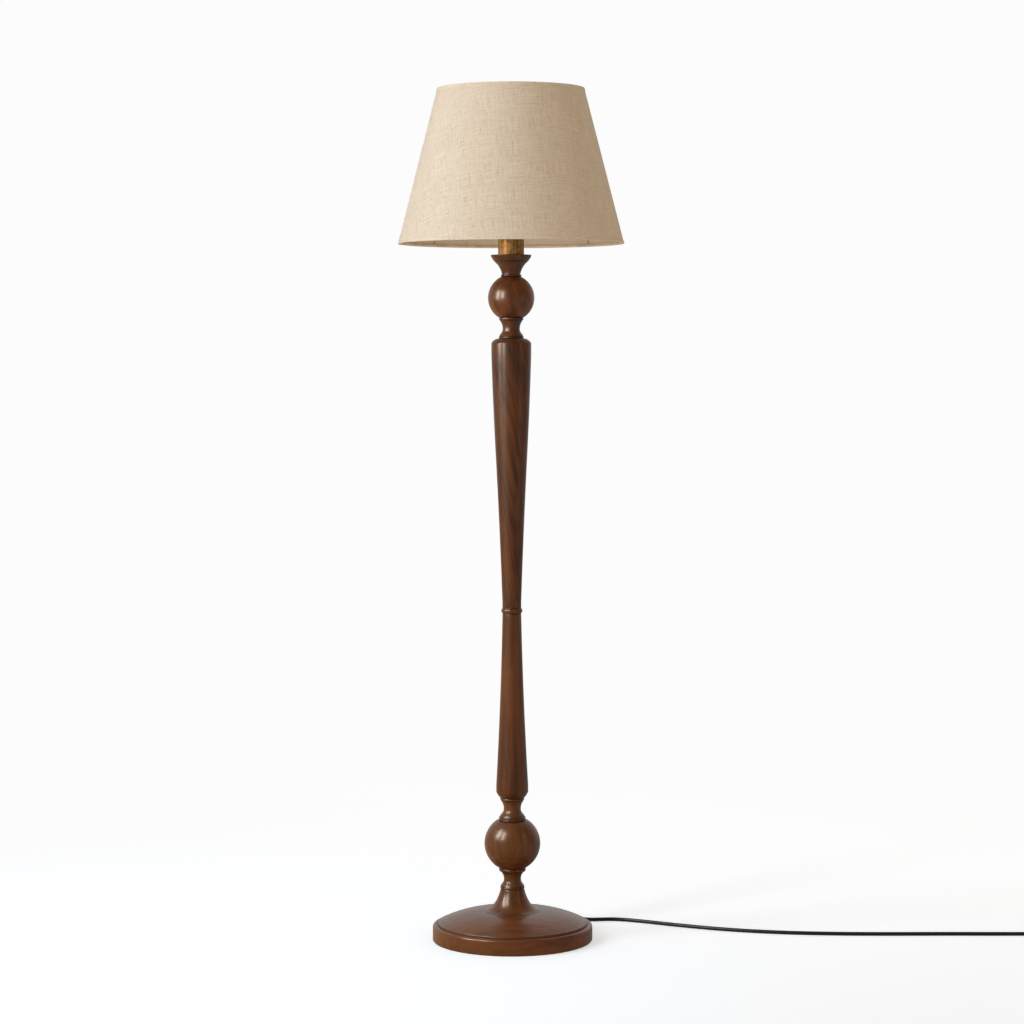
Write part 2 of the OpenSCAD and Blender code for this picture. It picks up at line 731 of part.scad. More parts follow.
module cord_clamp() {
    black() at_exit() difference() {
        translate([clamp_at - clamp_len / 2, -clamp_w / 2, clamp_z0])
            cube([clamp_len, clamp_w, recess_top_z - clamp_z0]);
        translate([clamp_at - clamp_len, 0, exit_z]) rotate([0, 90, 0])
            cylinder(r = cord_r + cord_gap, h = 2 * clamp_len);
        for (s = [-1, 1]) translate([clamp_at, s * clamp_screw_off, clamp_z0 - 1])
            cylinder(r = clamp_screw_r + thread_gap, h = recess_h + 2);
    }
}

module cord_clamp_screws() {
    steel() at_clamp_screws() screw(clamp_z0, clamp_screw_r, clamp_screw_l, clamp_head_r, clamp_head_h);
}

module inner_lead() {
    black() at_exit() {
        translate([bend_r, 0, exit_z]) rotate([0, 90, 0]) cylinder(r = cord_r, h = boot_end - bend_r);
        translate([bend_r, 0, exit_z + bend_r]) rotate([90, 0, 0]) rotate([0, 0, 180])
            rotate_extrude(angle = 90) translate([bend_r, 0]) circle(r = cord_r);
        translate([0, 0, exit_z + bend_r]) cylinder(r = cord_r, h = lead_top_z - exit_z - bend_r);
    }
}

core_in = 1.8;
core_out = 7;
core_rise = 5;
module lead_cores() {
    run = core_out - core_in;
    color([0.35, 0.22, 0.12]) for (k = [0:2]) rotate([0, 0, 30 + 120 * k]) {
        translate([core_in, 0, lead_top_z]) cylinder(r = core_r, h = 1.4);
        translate([core_in, 0, lead_top_z + 1]) rotate([0, atan(run / core_rise), 0])
            cylinder(r = core_r, h = norm([run, core_rise]));
        translate([core_out, 0, lead_top_z + 0.6 + core_rise])
            cylinder(r = core_r, h = block_z + 3.5 - lead_top_z - core_rise - 0.6);
    }
}

module toward_back(z) { translate([0, 0, z]) rotate([-90, 0, 0]) children(); }

module brass_sleeve() {
    brass() difference() {
        translate([0, 0, cup_floor_z]) rotate_extrude() polygon([
            [rod_r + thread_gap, 0], [sleeve_r - 1, 0], [sleeve_r, 1], [sleeve_r, sleeve_h - 0.3],
            [sleeve_r - 0.3, sleeve_h], [sleeve_r - sleeve_wall, sleeve_h],
            [sleeve_r - sleeve_wall, sleeve_floor], [rod_r + thread_gap, sleeve_floor]
        ]);
        toward_back(key_z) cylinder(r = key_shaft_r + 0.7, h = sleeve_r + 5);
    }
}

module holder_cap() {
    hole_r = rod_r + thread_gap;
    inner = holder_r - holder_wall;
    z1 = skirt_z - holder_z;
    black() difference() {
        translate([0, 0, holder_z]) rotate_extrude() polygon([
            [hole_r, 0], [holder_neck_r, 0], [holder_neck_r, neck_h],
            [holder_r, neck_h + cap_flare_h], [holder_r, z1], [inner, z1],
            [inner, neck_h + cap_flare_h + 1], [holder_neck_r - 1, neck_h + 1.4], [hole_r, neck_h + 1.4]
        ]);
        toward_back(key_z) cylinder(r = key_shaft_r + 0.5, h = holder_r + 5);
        translate([0, 0, holder_z + 3]) rotate([0, 90, 0])
            cylinder(r = 1.5 + thread_gap, h = holder_neck_r + 1);
    }
}

module grub_screw() {
    steel() translate([rod_r + 0.1, 0, holder_z + 3]) rotate([0, 90, 0])
        cylinder(r = 1.5, h = holder_neck_r - rod_r - 0.1);
}

terminal_at = 12.5;
module at_terminals() {
    for (k = [0:2]) rotate([0, 0, 30 + 120 * k]) translate([terminal_at, 0, 0]) children();
}
module terminal_block() {
    color([0.93, 0.92, 0.88]) difference() {
        translate([0, 0, block_z]) cylinder(r = block_r, h = block_h);
        toward_back(key_z) translate([0, 0, 4]) cylinder(r = key_shaft_r + thread_gap, h = holder_r);
        for (k = [0:2]) rotate([0, 0, 30 + 120 * k]) translate([core_out, 0, block_z - 1])
            cylinder(r = core_r + 0.2, h = 5.5);
        at_terminals() translate([0, 0, block_z - 1]) cylinder(r = 1.5 + thread_gap, h = 7.5);
    }
}
module terminal_screws() { brass() at_terminals() screw(block_z, 1.5, 6, 2.6, 1.8); }
module centre_contact() {
    brass() translate([0, 0, block_top_z]) cylinder(r = 4, h = contact_h);
}

module screw_shell() {
    brass() translate([0, 0, block_top_z]) rotate_extrude() polygon([
        [7, 0], [shell_r, 0], [shell_r, shell_h], [shell_r - shell_wall, shell_h],
        [shell_r - shell_wall, 0.8], [7, 0.8]
    ]);
}

module holder_skirt() {
    inner = holder_r - holder_wall;
    z_lip = block_top_z - skirt_z;
    z1 = skirt_top_z - skirt_z;
    black() translate([0, 0, skirt_z]) rotate_extrude() polygon([
        [inner, 0], [holder_r, 0], [holder_r, z1], [inner, z1], [inner, z_lip + lip_h],
        [shell_r + 0.5, z_lip + lip_h], [shell_r + 0.5, z_lip], [inner, z_lip]
    ]);
}

module switch_key() {
    knob = sleeve_r + 0.4;
    color([0.80, 0.62, 0.32]) toward_back(key_z) {
        translate([0, 0, 5]) cylinder(r = key_shaft_r, h = knob - 4);
        translate([0, 0, knob]) cylinder(r = 4.5, h = 3);
        translate([0, 0, knob + 2]) {
            translate([-key_w / 2 + 2, -1.5, 0]) cube([key_w - 4, 3, 10]);
            for (s = [-1, 1]) translate([s * (key_w / 2 - 2), 1.5, 5]) rotate([90, 0, 0])
                cylinder(r = 2 + 2, h = 3);
        }
    }
}

module clamp_ring() {
    color([0.10, 0.10, 0.10]) translate([0, 0, clamp_z]) difference() {
        union() {
            cylinder(r = clamp_r - 1, h = clamp_h);
            for (k = [0:clamp_ribs - 1]) rotate([0, 0, 360 * k / clamp_ribs])
                translate([clamp_r - 1.2, 0, 0]) cylinder(r = 1.2, h = clamp_h);
        }
        translate([0, 0, -1]) cylinder(r = holder_r + thread_gap, h = clamp_h + 2);
    }
}

module bulb_contact() {
    steel() translate([0, 0, bulb_z]) cylinder(r1 = 3.6, r2 = 4.8, h = bulb_tip_h);
}
module bulb_insulator() {
    black() translate([0, 0, bulb_z + bulb_tip_h])
        cylinder(r1 = 5.2, r2 = bulb_cap_r - 1.5, h = bulb_cap_z - bulb_z - bulb_tip_h);
}
module bulb_cap() {
    color([0.75, 0.74, 0.72]) translate([0, 0, bulb_cap_z]) rotate_extrude() polygon([
        [0, 0], [bulb_cap_r - 1.5, 0], [bulb_cap_r, 1.5], [bulb_cap_r, bulb_cap_h],
        [bulb_cap_r - 0.3, bulb_cap_h], [bulb_cap_r - 0.3, 1.7], [bulb_cap_r - 1.7, 0.4], [0, 0.4]
    ]);
}

// Outline of the bulb's glass from its neck to the top, moved in by a wall.
function globe(inset) =
    let (
        neck = [bulb_neck_r - inset, bulb_cap_z + bulb_cap_h - 3],
        neck_top = [bulb_neck_r - inset, bulb_cap_z + bulb_cap_h + 2],
        r = globe_r - inset,
        meet = [r * cos(-globe_meet), globe_z + r * sin(-globe_meet)]
    )
    concat([neck, neck_top], bow(neck_top, meet, -1.6, 8),
        [for (i = [1:24]) let (a = -globe_meet + (90 + globe_meet) * i / 24)
            [i == 24 ? 0 : r * cos(a), globe_z + r * sin(a)]]);
module bulb_glass() {
    outer = globe(0);
    inner = globe(glass_t);
    color([0.95, 0.95, 0.92, 0.6]) rotate_extrude()
        polygon(concat(outer, [for (i = [len(inner) - 1:-1:0]) inner[i]]));
}
module bulb_stem() {
    z = bulb_cap_z + 0.4;
    color([0.9, 0.92, 0.9, 0.6]) {
        translate([0, 0, z]) cylinder(r = 6, h = bulb_cap_h - 4);
        translate([0, 0, z + bulb_cap_h - 5]) cylinder(r1 = 6, r2 = 2.5, h = 9);
        translate([0, 0, z + bulb_cap_h + 3]) cylinder(r = 2.5, h = stem_h);
    }
}
module bulb_filaments() {
    z = bulb_cap_z + bulb_cap_h + 7;
    color([0.95, 0.82, 0.35]) {
        difference() {
            translate([0, 0, z]) cylinder(r = 8.5, h = 0.8);
            translate([0, 0, z - 1]) cylinder(r = 2.5 + thread_gap, h = 3);
        }
        for (k = [0:3]) rotate([0, 0, 45 + 90 * k]) translate([7.2, 0, z + 0.4])
            cylinder(r = 0.9, h = 30);
    }
}

// A band of the shade between two heights, from its outer face in.
module shade_band(h0, h1, out, t) {
    r0 = shade_r_at(h0) - out;
    r1 = shade_r_at(h1) - out;
    translate([0, 0, shade_z]) rotate_extrude() polygon([[r0 - t, h0], [r0, h0], [r1, h1], [r1 - t, h1]]);
}
module shade_cover() {
    color([0.80, 0.74, 0.66]) shade_band(trim_t, shade_h - trim_t, cover_in, shade_t);
}
// Edge tape: a band outside the cover with a lip over its edge.
module trim(h0, h1, lip0, lip1) {
    color([0.74, 0.68, 0.60]) {
        shade_band(h0, h1, 0, trim_t);
        shade_band(lip0, lip1, 0, cover_in + shade_t);
    }
}
module trim_bottom() { trim(0, trim_w, 0, trim_t - trim_air); }
module trim_top() { trim(shade_h - trim_w, shade_h, shade_h - trim_t + trim_air, shade_h); }

// A ring of wire against the inside of the cover, its centre at a height above the bottom edge.
ring_up = trim_t + wire_r + 0.5;
function ring_r_at(h) = shade_r_at(h) - cover_in - shade_t - (wire_r + 0.15) / cos(lean);
module wire_ring(h) {
    translate([0, 0, shade_z + h]) rotate_extrude() translate([ring_r_at(h), 0]) circle(r = wire_r);
}
module shade_top_ring() { steel() wire_ring(shade_h - ring_up); }

// One arm: out from the centre ring, round a bend and down along the cover to the bottom ring.
// The bend is a little fuller than the straight wire, which runs a short way into it.
module fitter_arm() {
    turn = 90 - lean;
    drop = arm_z - shade_z - ring_up;
    foot_r = ring_r_at(ring_up);
    top_r = foot_r - drop * tan(lean);
    cut = arm_bend * tan(turn / 2);
    into = 0.5;
    rotate([90, 0, 0]) {
        translate([fitter_r - 5, arm_z, 0]) rotate([0, 90, 0])
            cylinder(r = arm_r, h = top_r - cut - fitter_r + 5 + into);
        translate([top_r - cut, arm_z - arm_bend, 0]) rotate([0, 0, 90 - turn])
            rotate_extrude(angle = turn) translate([arm_bend, 0]) circle(r = arm_r + 0.05);
        translate([foot_r, shade_z + ring_up, 0]) rotate([-90, 0, lean])
            cylinder(r = arm_r, h = drop / cos(lean) - cut + into);
    }
}
module shade_fitter() {
    steel() {
        translate([0, 0, fitter_z]) difference() {
            cylinder(r = fitter_r, h = fitter_t);
            translate([0, 0, -1]) cylinder(r = holder_r + 0.6, h = fitter_t + 2);
        }
        for (k = [0:arm_count - 1]) rotate([0, 0, 45 + 360 * k / arm_count]) fitter_arm();
        wire_ring(ring_up);
    }
}

module cord_lead() { black() swept_tube(lead_path, exit_dir, [1, 0, 0], cord_r, lead_sides); }
module cord_coil() { black() swept_tube(coil_path, [1, 0, 0], [0, 1, 0], cord_r, coil_sides); }

// A strap round the turns on the coil's -X side, lying flat on the floor under them.
tie_in_r = 27.9;
tie_out_r = 46.2;
module coil_tie() {
    inner_h = coil_pitch + cord_d + 2 * tie_gap;
    x0 = -tie_out_r;
    x1 = -tie_in_r;
    color([0.08, 0.08, 0.09]) translate([coil_centre[0], coil_centre[1] + tie_w / 2, tie_t])
        rotate([90, 0, 0]) linear_extrude(height = tie_w) difference() {
            polygon(rounded([x0 - tie_t, -tie_t], [x1 + tie_t, inner_h + tie_t], tie_round + tie_t));
            polygon(rounded([x0, 0], [x1, inner_h], tie_round));
        }
}
tie_round = 2.5;

// Corners of an upright rectangle from its lowest to its highest corner, each rounded in three steps.
function rounded(lo, hi, r) =
    let (
        a = lo + [r, r],
        b = hi - [r, r],
        at = [b, [a[0], b[1]], a, [b[0], a[1]]]
    )
    [for (k = [0:3]) for (i = [0:3]) at[k] + r * [cos(90 * k + 30 * i), sin(90 * k + 30 * i)]];

clip_w = 6;
clip_t = 0.8;
clip_l = 16;
module at_plug() { translate(plug_point) rotate([-90, 0, 0]) children(); }
module plug_body() {
    face = relief_l + plug_l;
    black() at_plug() difference() {
        rotate_extrude() polygon([
            [0, 0], [5, 0], [6.5, relief_l], [10, relief_l + 2], [plug_r - 3, relief_l + 8],
            [plug_r, relief_l + 12], [plug_r, face - 1], [plug_r - 1, face], [0, face]
        ]);
        for (s = [-1, 1]) {
            translate([s * pin_gap / 2, 0, face - 10]) cylinder(r = pin_r + thread_gap, h = 11);
            translate([-clip_w / 2 - 0.5, s * (plug_r - 1) - 2, face - clip_l - 1])
                cube([clip_w + 1, 4, clip_l + 2]);
        }
    }
}
module plug_pins() {
    brass() at_plug() for (s = [-1, 1])
        translate([s * pin_gap / 2, 0, relief_l + plug_l - 10]) {
            cylinder(r = pin_r, h = 10 + pin_l - 1.2);
            translate([0, 0, 10 + pin_l - 1.2]) cylinder(r1 = pin_r, r2 = pin_r - 1.1, h = 1.2);
        }
}
module plug_earth_clips() {
    steel() at_plug() for (s = [-1, 1])
        translate([-clip_w / 2, s * (plug_r - 3 + clip_t / 2) - clip_t / 2, relief_l + plug_l - clip_l - 1])
            cube([clip_w, clip_t, clip_l]);
}

base_felt();
base_disc();
ballast_weight();
ballast_screws();
pedestal_cone();
lower_spool();
lower_ball();
foot_spool();
lower_column();
joint_ring();
upper_column();
top_spool();
upper_ball();
drip_cup();
lower_tube();
tube_coupling();
upper_tube();
bottom_washer();
bottom_nut();
top_washer();
top_nut();
cord_bush();
cord_clamp();
cord_clamp_screws();
inner_lead();
lead_cores();
brass_sleeve();
holder_cap();
grub_screw();
terminal_block();
terminal_screws();
centre_contact();
screw_shell();
holder_skirt();
switch_key();
clamp_ring();
bulb_contact();
bulb_insulator();
bulb_cap();
bulb_glass();
bulb_stem();
bulb_filaments();
shade_cover();
shade_fitter();
shade_top_ring();
trim_bottom();
trim_top();
cord_lead();
cord_coil();
coil_tie();
plug_body();
plug_pins();
plug_earth_clips();
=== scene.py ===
import json
import math

import bmesh
import bpy
import numpy as np
from mathutils import Matrix, Vector


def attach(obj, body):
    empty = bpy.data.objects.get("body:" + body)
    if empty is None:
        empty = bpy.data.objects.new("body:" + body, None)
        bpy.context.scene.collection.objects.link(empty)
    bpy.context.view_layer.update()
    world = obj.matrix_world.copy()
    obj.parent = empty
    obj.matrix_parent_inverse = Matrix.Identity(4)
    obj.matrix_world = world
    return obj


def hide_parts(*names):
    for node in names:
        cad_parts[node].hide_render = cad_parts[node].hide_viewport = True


class Settings(dict):
    # a dictionary of settings whose values are read as s.name
    __getattr__ = dict.__getitem__


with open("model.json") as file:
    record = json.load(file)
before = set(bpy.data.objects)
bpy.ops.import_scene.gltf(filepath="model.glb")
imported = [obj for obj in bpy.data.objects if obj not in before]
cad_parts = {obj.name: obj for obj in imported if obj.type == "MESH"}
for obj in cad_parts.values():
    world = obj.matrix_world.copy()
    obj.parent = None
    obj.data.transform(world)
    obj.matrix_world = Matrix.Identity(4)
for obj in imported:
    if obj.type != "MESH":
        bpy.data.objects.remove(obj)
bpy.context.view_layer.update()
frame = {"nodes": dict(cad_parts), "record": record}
nodes = frame["nodes"]
scene = bpy.context.scene
mm = 0.001
print("frame loaded:", len(nodes), "CAD nodes")


def newObject(name, data):
    thing = bpy.data.objects.new(name, data)
    scene.collection.objects.link(thing)
    return thing


# camera at the photograph's height and angle
cameraSettings = Settings(
    place=(0.0, -4.838, 1.048), lookDown=3.33, roll=-0.122, swing=-0.0075,
    lens=96.0, sensorWidth=36.0, clipEnd=60.0,
)


def makeCamera(s):
    data = bpy.data.cameras.new("photoCamera")
    data.lens = s.lens
    data.sensor_width = s.sensorWidth
    data.clip_end = s.clipEnd
    camera = newObject("photoCamera", data)
    camera.matrix_world = (
        Matrix.Translation(s.place)
        @ Matrix.Rotation(math.radians(s.swing), 4, "Z")
        @ Matrix.Rotation(math.radians(90 - s.lookDown), 4, "X")
        @ Matrix.Rotation(math.radians(s.roll), 4, "Z")
    )
    scene.camera = camera


makeCamera(cameraSettings)
print("camera set")


# small helpers for lines and meshes

def newPiece(name, points, faces):
    mesh = bpy.data.meshes.new(name)
    mesh.from_pydata([tuple(p) for p in points], [], faces)
    mesh.polygons.foreach_set("use_smooth", [True] * len(mesh.polygons))
    mesh.update()
    return newObject(name, mesh)


def addUv(piece, name, uvs):
    # one pair for each corner of each face
    layer = piece.data.uv_layers.new(name=name)
    layer.data.foreach_set("uv", [value for uv in uvs for value in uv])


def faceOutwards(mesh):
    mesh.calc_loop_triangles()
    co = np.zeros(len(mesh.vertices) * 3)
    mesh.vertices.foreach_get("co", co)
    corners = co.reshape(-1, 3)[np.array([t.vertices for t in mesh.loop_triangles])]
    a, b, c = corners[:, 0], corners[:, 1], corners[:, 2]
    if np.einsum("ij,ij->i", a, np.cross(b, c)).sum() < 0:
        mesh.flip_normals()


def editMesh(mesh, *steps):
    build = bmesh.new()
    build.from_mesh(mesh)
    for step in steps:
        step(build)
    build.to_mesh(mesh)
    build.free()


def makePlain(piece):
    # bakes what the modifiers give into a plain mesh and takes the modifiers off
    graph = bpy.context.evaluated_depsgraph_get()
    mesh = bpy.data.meshes.new_from_object(piece.evaluated_get(graph))
    mesh.name = piece.name
    piece.modifiers.clear()
    piece.data = mesh


def arc(centre, radius, start, turn, steps, skip=0):
    # points on a circle; skip=1 leaves the first one out
    angles = [start + turn * i / steps for i in range(skip, steps + 1)]
    return [(centre[0] + radius * math.cos(a), centre[1] + radius * math.sin(a)) for a in angles]


def bow(p, q, rise, steps):
    # points on an arc from p to q, without p, that stands out to the right of the way by the rise
    p, q = np.array(p, float), np.array(q, float)
    way = q - p
    chord = np.linalg.norm(way)
    radius = (chord * chord / 4 + rise * rise) / (2 * abs(rise))
    side = np.array([way[1], -way[0]]) / chord
    centre = (p + q) / 2 + side * (rise - math.copysign(radius, rise))
    start = math.atan2(p[1] - centre[1], p[0] - centre[0])
    turn = math.atan2(q[1] - centre[1], q[0] - centre[0]) - start
    turn = (turn + math.pi) % (2 * math.pi) - math.pi
    return arc(centre, radius, start, turn, steps, skip=1)


def bend(p, control, q, shares):
    # points on a curve that leaves p and reaches q in the direction of the control point
    return [p * (1 - t) ** 2 + control * 2 * t * (1 - t) + q * t * t for t in shares]


cornerSettings = Settings(leastBend=22.0, mostCut=0.42, shortest=1e-6, steps=3)


def softenCorners(line, radius):
    # rounds each sharp corner of a closed outline by a small curve
    s = cornerSettings
    out = []
    for i, corner in enumerate(line):
        p = Vector(corner)
        before, after = Vector(line[i - 1]) - p, Vector(line[(i + 1) % len(line)]) - p
        if min(before.length, after.length) < s.shortest:
            continue
        if 180 - math.degrees(before.angle(after)) < s.leastBend:
            out.append(p)
            continue
        cut = min(radius, s.mostCut * before.length, s.mostCut * after.length)
        first, last = p + before.normalized() * cut, p + after.normalized() * cut
        out += bend(first, p, last, [k / s.steps for k in range(s.steps + 1)])
    return [tuple(p) for p in out]


def splineThrough(points, steps):
    points = [np.array(p, float) for p in points]
    last, out = len(points) - 1, []
    for i in range(last):
        a, b, c, d = points[max(i - 1, 0)], points[i], points[i + 1], points[min(i + 2, last)]
        for t in np.arange(steps) / steps:
            square = (2 * a - 5 * b + 4 * c - d) * t * t
            cube = (3 * b - a - 3 * c + d) * t ** 3
            out.append(0.5 * (2 * b + (c - a) * t + square + cube))
    return out + [points[-1]]


def sweepTube(name, path, radius, sides, lastDirection):
    # a round tube along a line, closed at both ends, with its length and its girth as UV in metres
    path = [Vector(p) for p in path]
    last = len(path) - 1
    run = [0.0]
    for a, b in zip(path, path[1:]):
        run.append(run[-1] + (b - a).length)
    points = []
    for i, p in enumerate(path):
        ahead = Vector(lastDirection) if i == last else path[i + 1] - path[max(i - 1, 0)]
        ahead.normalize()
        across = ahead.cross(Vector((0, 0, 1))).normalized()
        up = across.cross(ahead)
        for a in np.linspace(0, 2 * math.pi, sides, endpoint=False):
            points.append(p + radius * (math.cos(a) * across + math.sin(a) * up))
    ends = len(points)
    points += [path[0], path[-1]]
    faces, uvs = [], []
    for i in range(last):
        for k in range(sides):
            m, row, above = (k + 1) % sides, i * sides, (i + 1) * sides
            faces.append((row + k, row + m, above + m, above + k))
            uvs += [(run[i], k), (run[i], k + 1), (run[i + 1], k + 1), (run[i + 1], k)]
    for k in range(sides):
        m, row = (k + 1) % sides, last * sides
        faces += [(ends, m, k), (ends + 1, row + k, row + m)]
        uvs += [(run[0], k + 0.5), (run[0], k + 1), (run[0], k)]
        uvs += [(run[-1], k + 0.5), (run[-1], k), (run[-1], k + 1)]
    piece = newPiece(name, points, faces)
    girthStep = 2 * math.pi * radius / sides
    addUv(piece, "runAndGirth", [(along, k * girthStep) for along, k in uvs])
    faceOutwards(piece.data)
    return piece


# the flex: its route over the floor, the spare coil and the rise to the plug
flexSettings = Settings(
    diameter=7.0, sides=20, rimRadius=142.8, bootLength=24.0, exitHeight=11.0,
    exitAngle=50.0, coilRadius=46.0, coilPitch=7.8, coilTurns=4.25, coilSteps=48,
    plugRadius=18.0, tail=[(14, 0.15), (26, 0.5), (38, 0.86), (48, 1.0), (56, 1.0)],
)
routePoints = [
    (119, 139.6, 8.6), (132, 147.2, 5.6), (146.5, 151.6, 3.8), (164, 154.5, 3.5), (183, 155.5, 3.5),
    (202, 152, 3.5), (219, 145.5, 3.5), (236, 137.5, 3.5), (262, 124, 3.5), (296, 105.5, 3.5),
    (335, 86, 3.5), (380, 66.5, 3.5), (430, 50, 3.5), (485, 37, 3.5), (540, 29, 3.5),
    (595, 24.5, 3.5), (650, 22.5, 3.5), (705, 22, 3.5), (760, 22, 3.5), (815, 21.5, 3.5),
    (870, 20.5, 3.5), (925, 20, 3.6), (970, 20, 4.3), (1000, 20, 4.6),
]


def flexRoute(s):
    angle = math.radians(s.exitAngle)
    reach = s.rimRadius + s.bootLength
    exitPoint = (reach * math.cos(angle), reach * math.sin(angle), s.exitHeight)
    line = splineThrough([exitPoint] + routePoints, 6)
    start = line[-1]
    centre = start + np.array([0, s.coilRadius, 0])
    half = s.coilTurns * 180
    steps = int(s.coilTurns * s.coilSteps)
    for i in range(1, steps + 1):  # winds in on the floor, climbs one layer, winds out
        turned = i * 2 * half / steps
        inward = min(turned, 2 * half - turned)
        climb = max(0.0, min(1.0, (turned - half + 90) / 180))
        r = s.coilRadius - s.coilPitch * inward / 360
        z = s.coilPitch * (1 - math.cos(math.pi * climb)) / 2
        a = math.radians(turned - 90)
        line.append(centre + np.array([r * math.cos(a), r * math.sin(a), z]))
    plugUp = s.plugRadius - start[2] - s.coilPitch
    end = line[-1]
    line += splineThrough([end] + [end + np.array([0, y, part * plugUp]) for y, part in s.tail], 3)[1:]
    return exitPoint, [p * mm for p in line], centre * mm


exitPoint, flexLine, coilCentre = flexRoute(flexSettings)
flexLength = sum(float(np.linalg.norm(b - a)) for a, b in zip(flexLine, flexLine[1:]))
flex = sweepTube("flex", flexLine, flexSettings.diameter / 2 * mm, flexSettings.sides, (0, 1, 0))
print("flex swept:", round(flexLength, 3), "m, coil centre", [round(float(c), 3) for c in coilCentre])


# helpers for node trees

work = Settings(tree=None)  # the tree that is being made, which the helpers add to


def feed(socket, value):
    # links a socket, or sets a plain value; a colour gets its fourth number here
    if isinstance(value, bpy.types.NodeSocket):
        work.tree.links.new(value, socket)
    else:
        socket.default_value = (*value, 1.0) if socket.type == "RGBA" else value


def put(kind, inputs=None, **settings):
    # makes a node and returns its outputs
    node = work.tree.nodes.new(kind)
    for name, value in settings.items():
        setattr(node, name, value)
    for name, value in (inputs or {}).items():
        feed(node.inputs[name], value)
    return node.outputs


def calc(operation, *values):
    return put("ShaderNodeMath", dict(enumerate(values)), operation=operation)[0]


def plus(a, b):
    return calc("ADD", a, b)


def minus(a, b):
    return calc("SUBTRACT", a, b)


def times(a, b):
    return calc("MULTIPLY", a, b)


def noiseAt(place, scale, detail=3.0, roughness=0.55, distortion=0.0, stretch=None):
    if stretch:
        place = put("ShaderNodeVectorMath", {0: place, 1: stretch}, operation="MULTIPLY")[0]
    return put("ShaderNodeTexNoise", {
        "Vector": place, "Scale": scale, "Detail": detail, "Roughness": roughness,
        "Distortion": distortion})["Fac"]


def remap(value, low, high, toLow=0.0, toHigh=1.0):
    return put("ShaderNodeMapRange", {0: value, 1: low, 2: high, 3: toLow, 4: toHigh})[0]


def axesOf(vector):
    return put("ShaderNodeSeparateXYZ", {0: vector})


def mixColours(amount, first, second, blend="MIX"):
    inputs = {0: amount, 6: first, 7: second}
    return put("ShaderNodeMix", inputs, data_type="RGBA", blend_type=blend)[2]


def layered(colour, *layers):
    # each layer is a mask and the colour that shows where the mask is 1
    for mask, over in layers:
        colour = mixColours(mask, colour, over)
    return colour


def newGroup(name, inputs, outputs, kind="ShaderNodeTree"):
    group = bpy.data.node_groups.new(name, kind)
    work["tree"] = group
    for way, sockets in (("INPUT", inputs), ("OUTPUT", outputs)):
        for label, socket in sockets.items():
            group.interface.new_socket(name=label, in_out=way, socket_type="NodeSocket" + socket)
    return group, put("NodeGroupInput")


def useGroup(group, inputs):
    return put("ShaderNodeGroup", inputs, node_tree=group)


def newMaterial(name, **plain):
    material = bpy.data.materials.new(name)
    material.use_nodes = True
    work["tree"] = material.node_tree
    for label, value in plain.items():
        feed(work.tree.nodes["Principled BSDF"].inputs[label.replace("_", " ")], value)
    return material


def wire(material, colour, height, depth, strength, roughness=None):
    # joins the colour, the fine relief and the roughness to the material's shader
    inputs = work.tree.nodes["Principled BSDF"].inputs
    feed(inputs["Base Color"], colour)
    if roughness is not None:
        feed(inputs["Roughness"], roughness)
    bump = put("ShaderNodeBump", {"Height": height, "Distance": depth, "Strength": strength})
    feed(inputs["Normal"], bump["Normal"])
    return material


def objectPlace(move=(0, 0, 0), turn=(0, 0, 0)):
    coords = put("ShaderNodeTexCoord")["Object"]
    inputs = {"Vector": coords, "Location": move, "Rotation": [math.radians(a) for a in turn]}
    return put("ShaderNodeMapping", inputs)[0]


# effects that several materials share

# each noise of the wood: stretch along the grain, scale, detail, roughness, distortion
figureNoise = {
    "wander": (0.16, 11.0, 3.0, 0.55, 0.0),
    "streak": (0.035, 330.0, 4.0, 0.6, 0.0),
    "fibre": (0.02, 1500.0, 2.0, 0.55, 0.0),
    "band": (0.07, 95.0, 3.0, 0.55, 0.4),
    "patch": (0.22, 17.0, 3.0, 0.55, 0.0),
    "pores": (0.045, 1150.0, 1.0, 0.55, 0.0),
    "hue": (0.3, 14.0, 2.0, 0.55, 0.0),
}
# what the noises add to the darkness of the rings: noise from, to, added from, to
figureDarkens = {
    "streak": (0.32, 0.72, 0.0, 0.20), "band": (0.34, 0.70, -0.16, 0.42), "patch": (0.34, 0.70, -0.25, 0.45),
}
figureSettings = Settings(
    lateWood=2.4, ringEdge=0.82, coolTint=(0.98, 1.02, 1.06), warmTint=(1.09, 0.96, 0.80),
    fibreColour=(0.030, 0.011, 0.006), fibreShare=0.18, poreColour=(0.012, 0.005, 0.003),
    poreShare=0.45, satin=(0.42, 0.52), poreRough=0.18, fibreHeight=0.3,
)


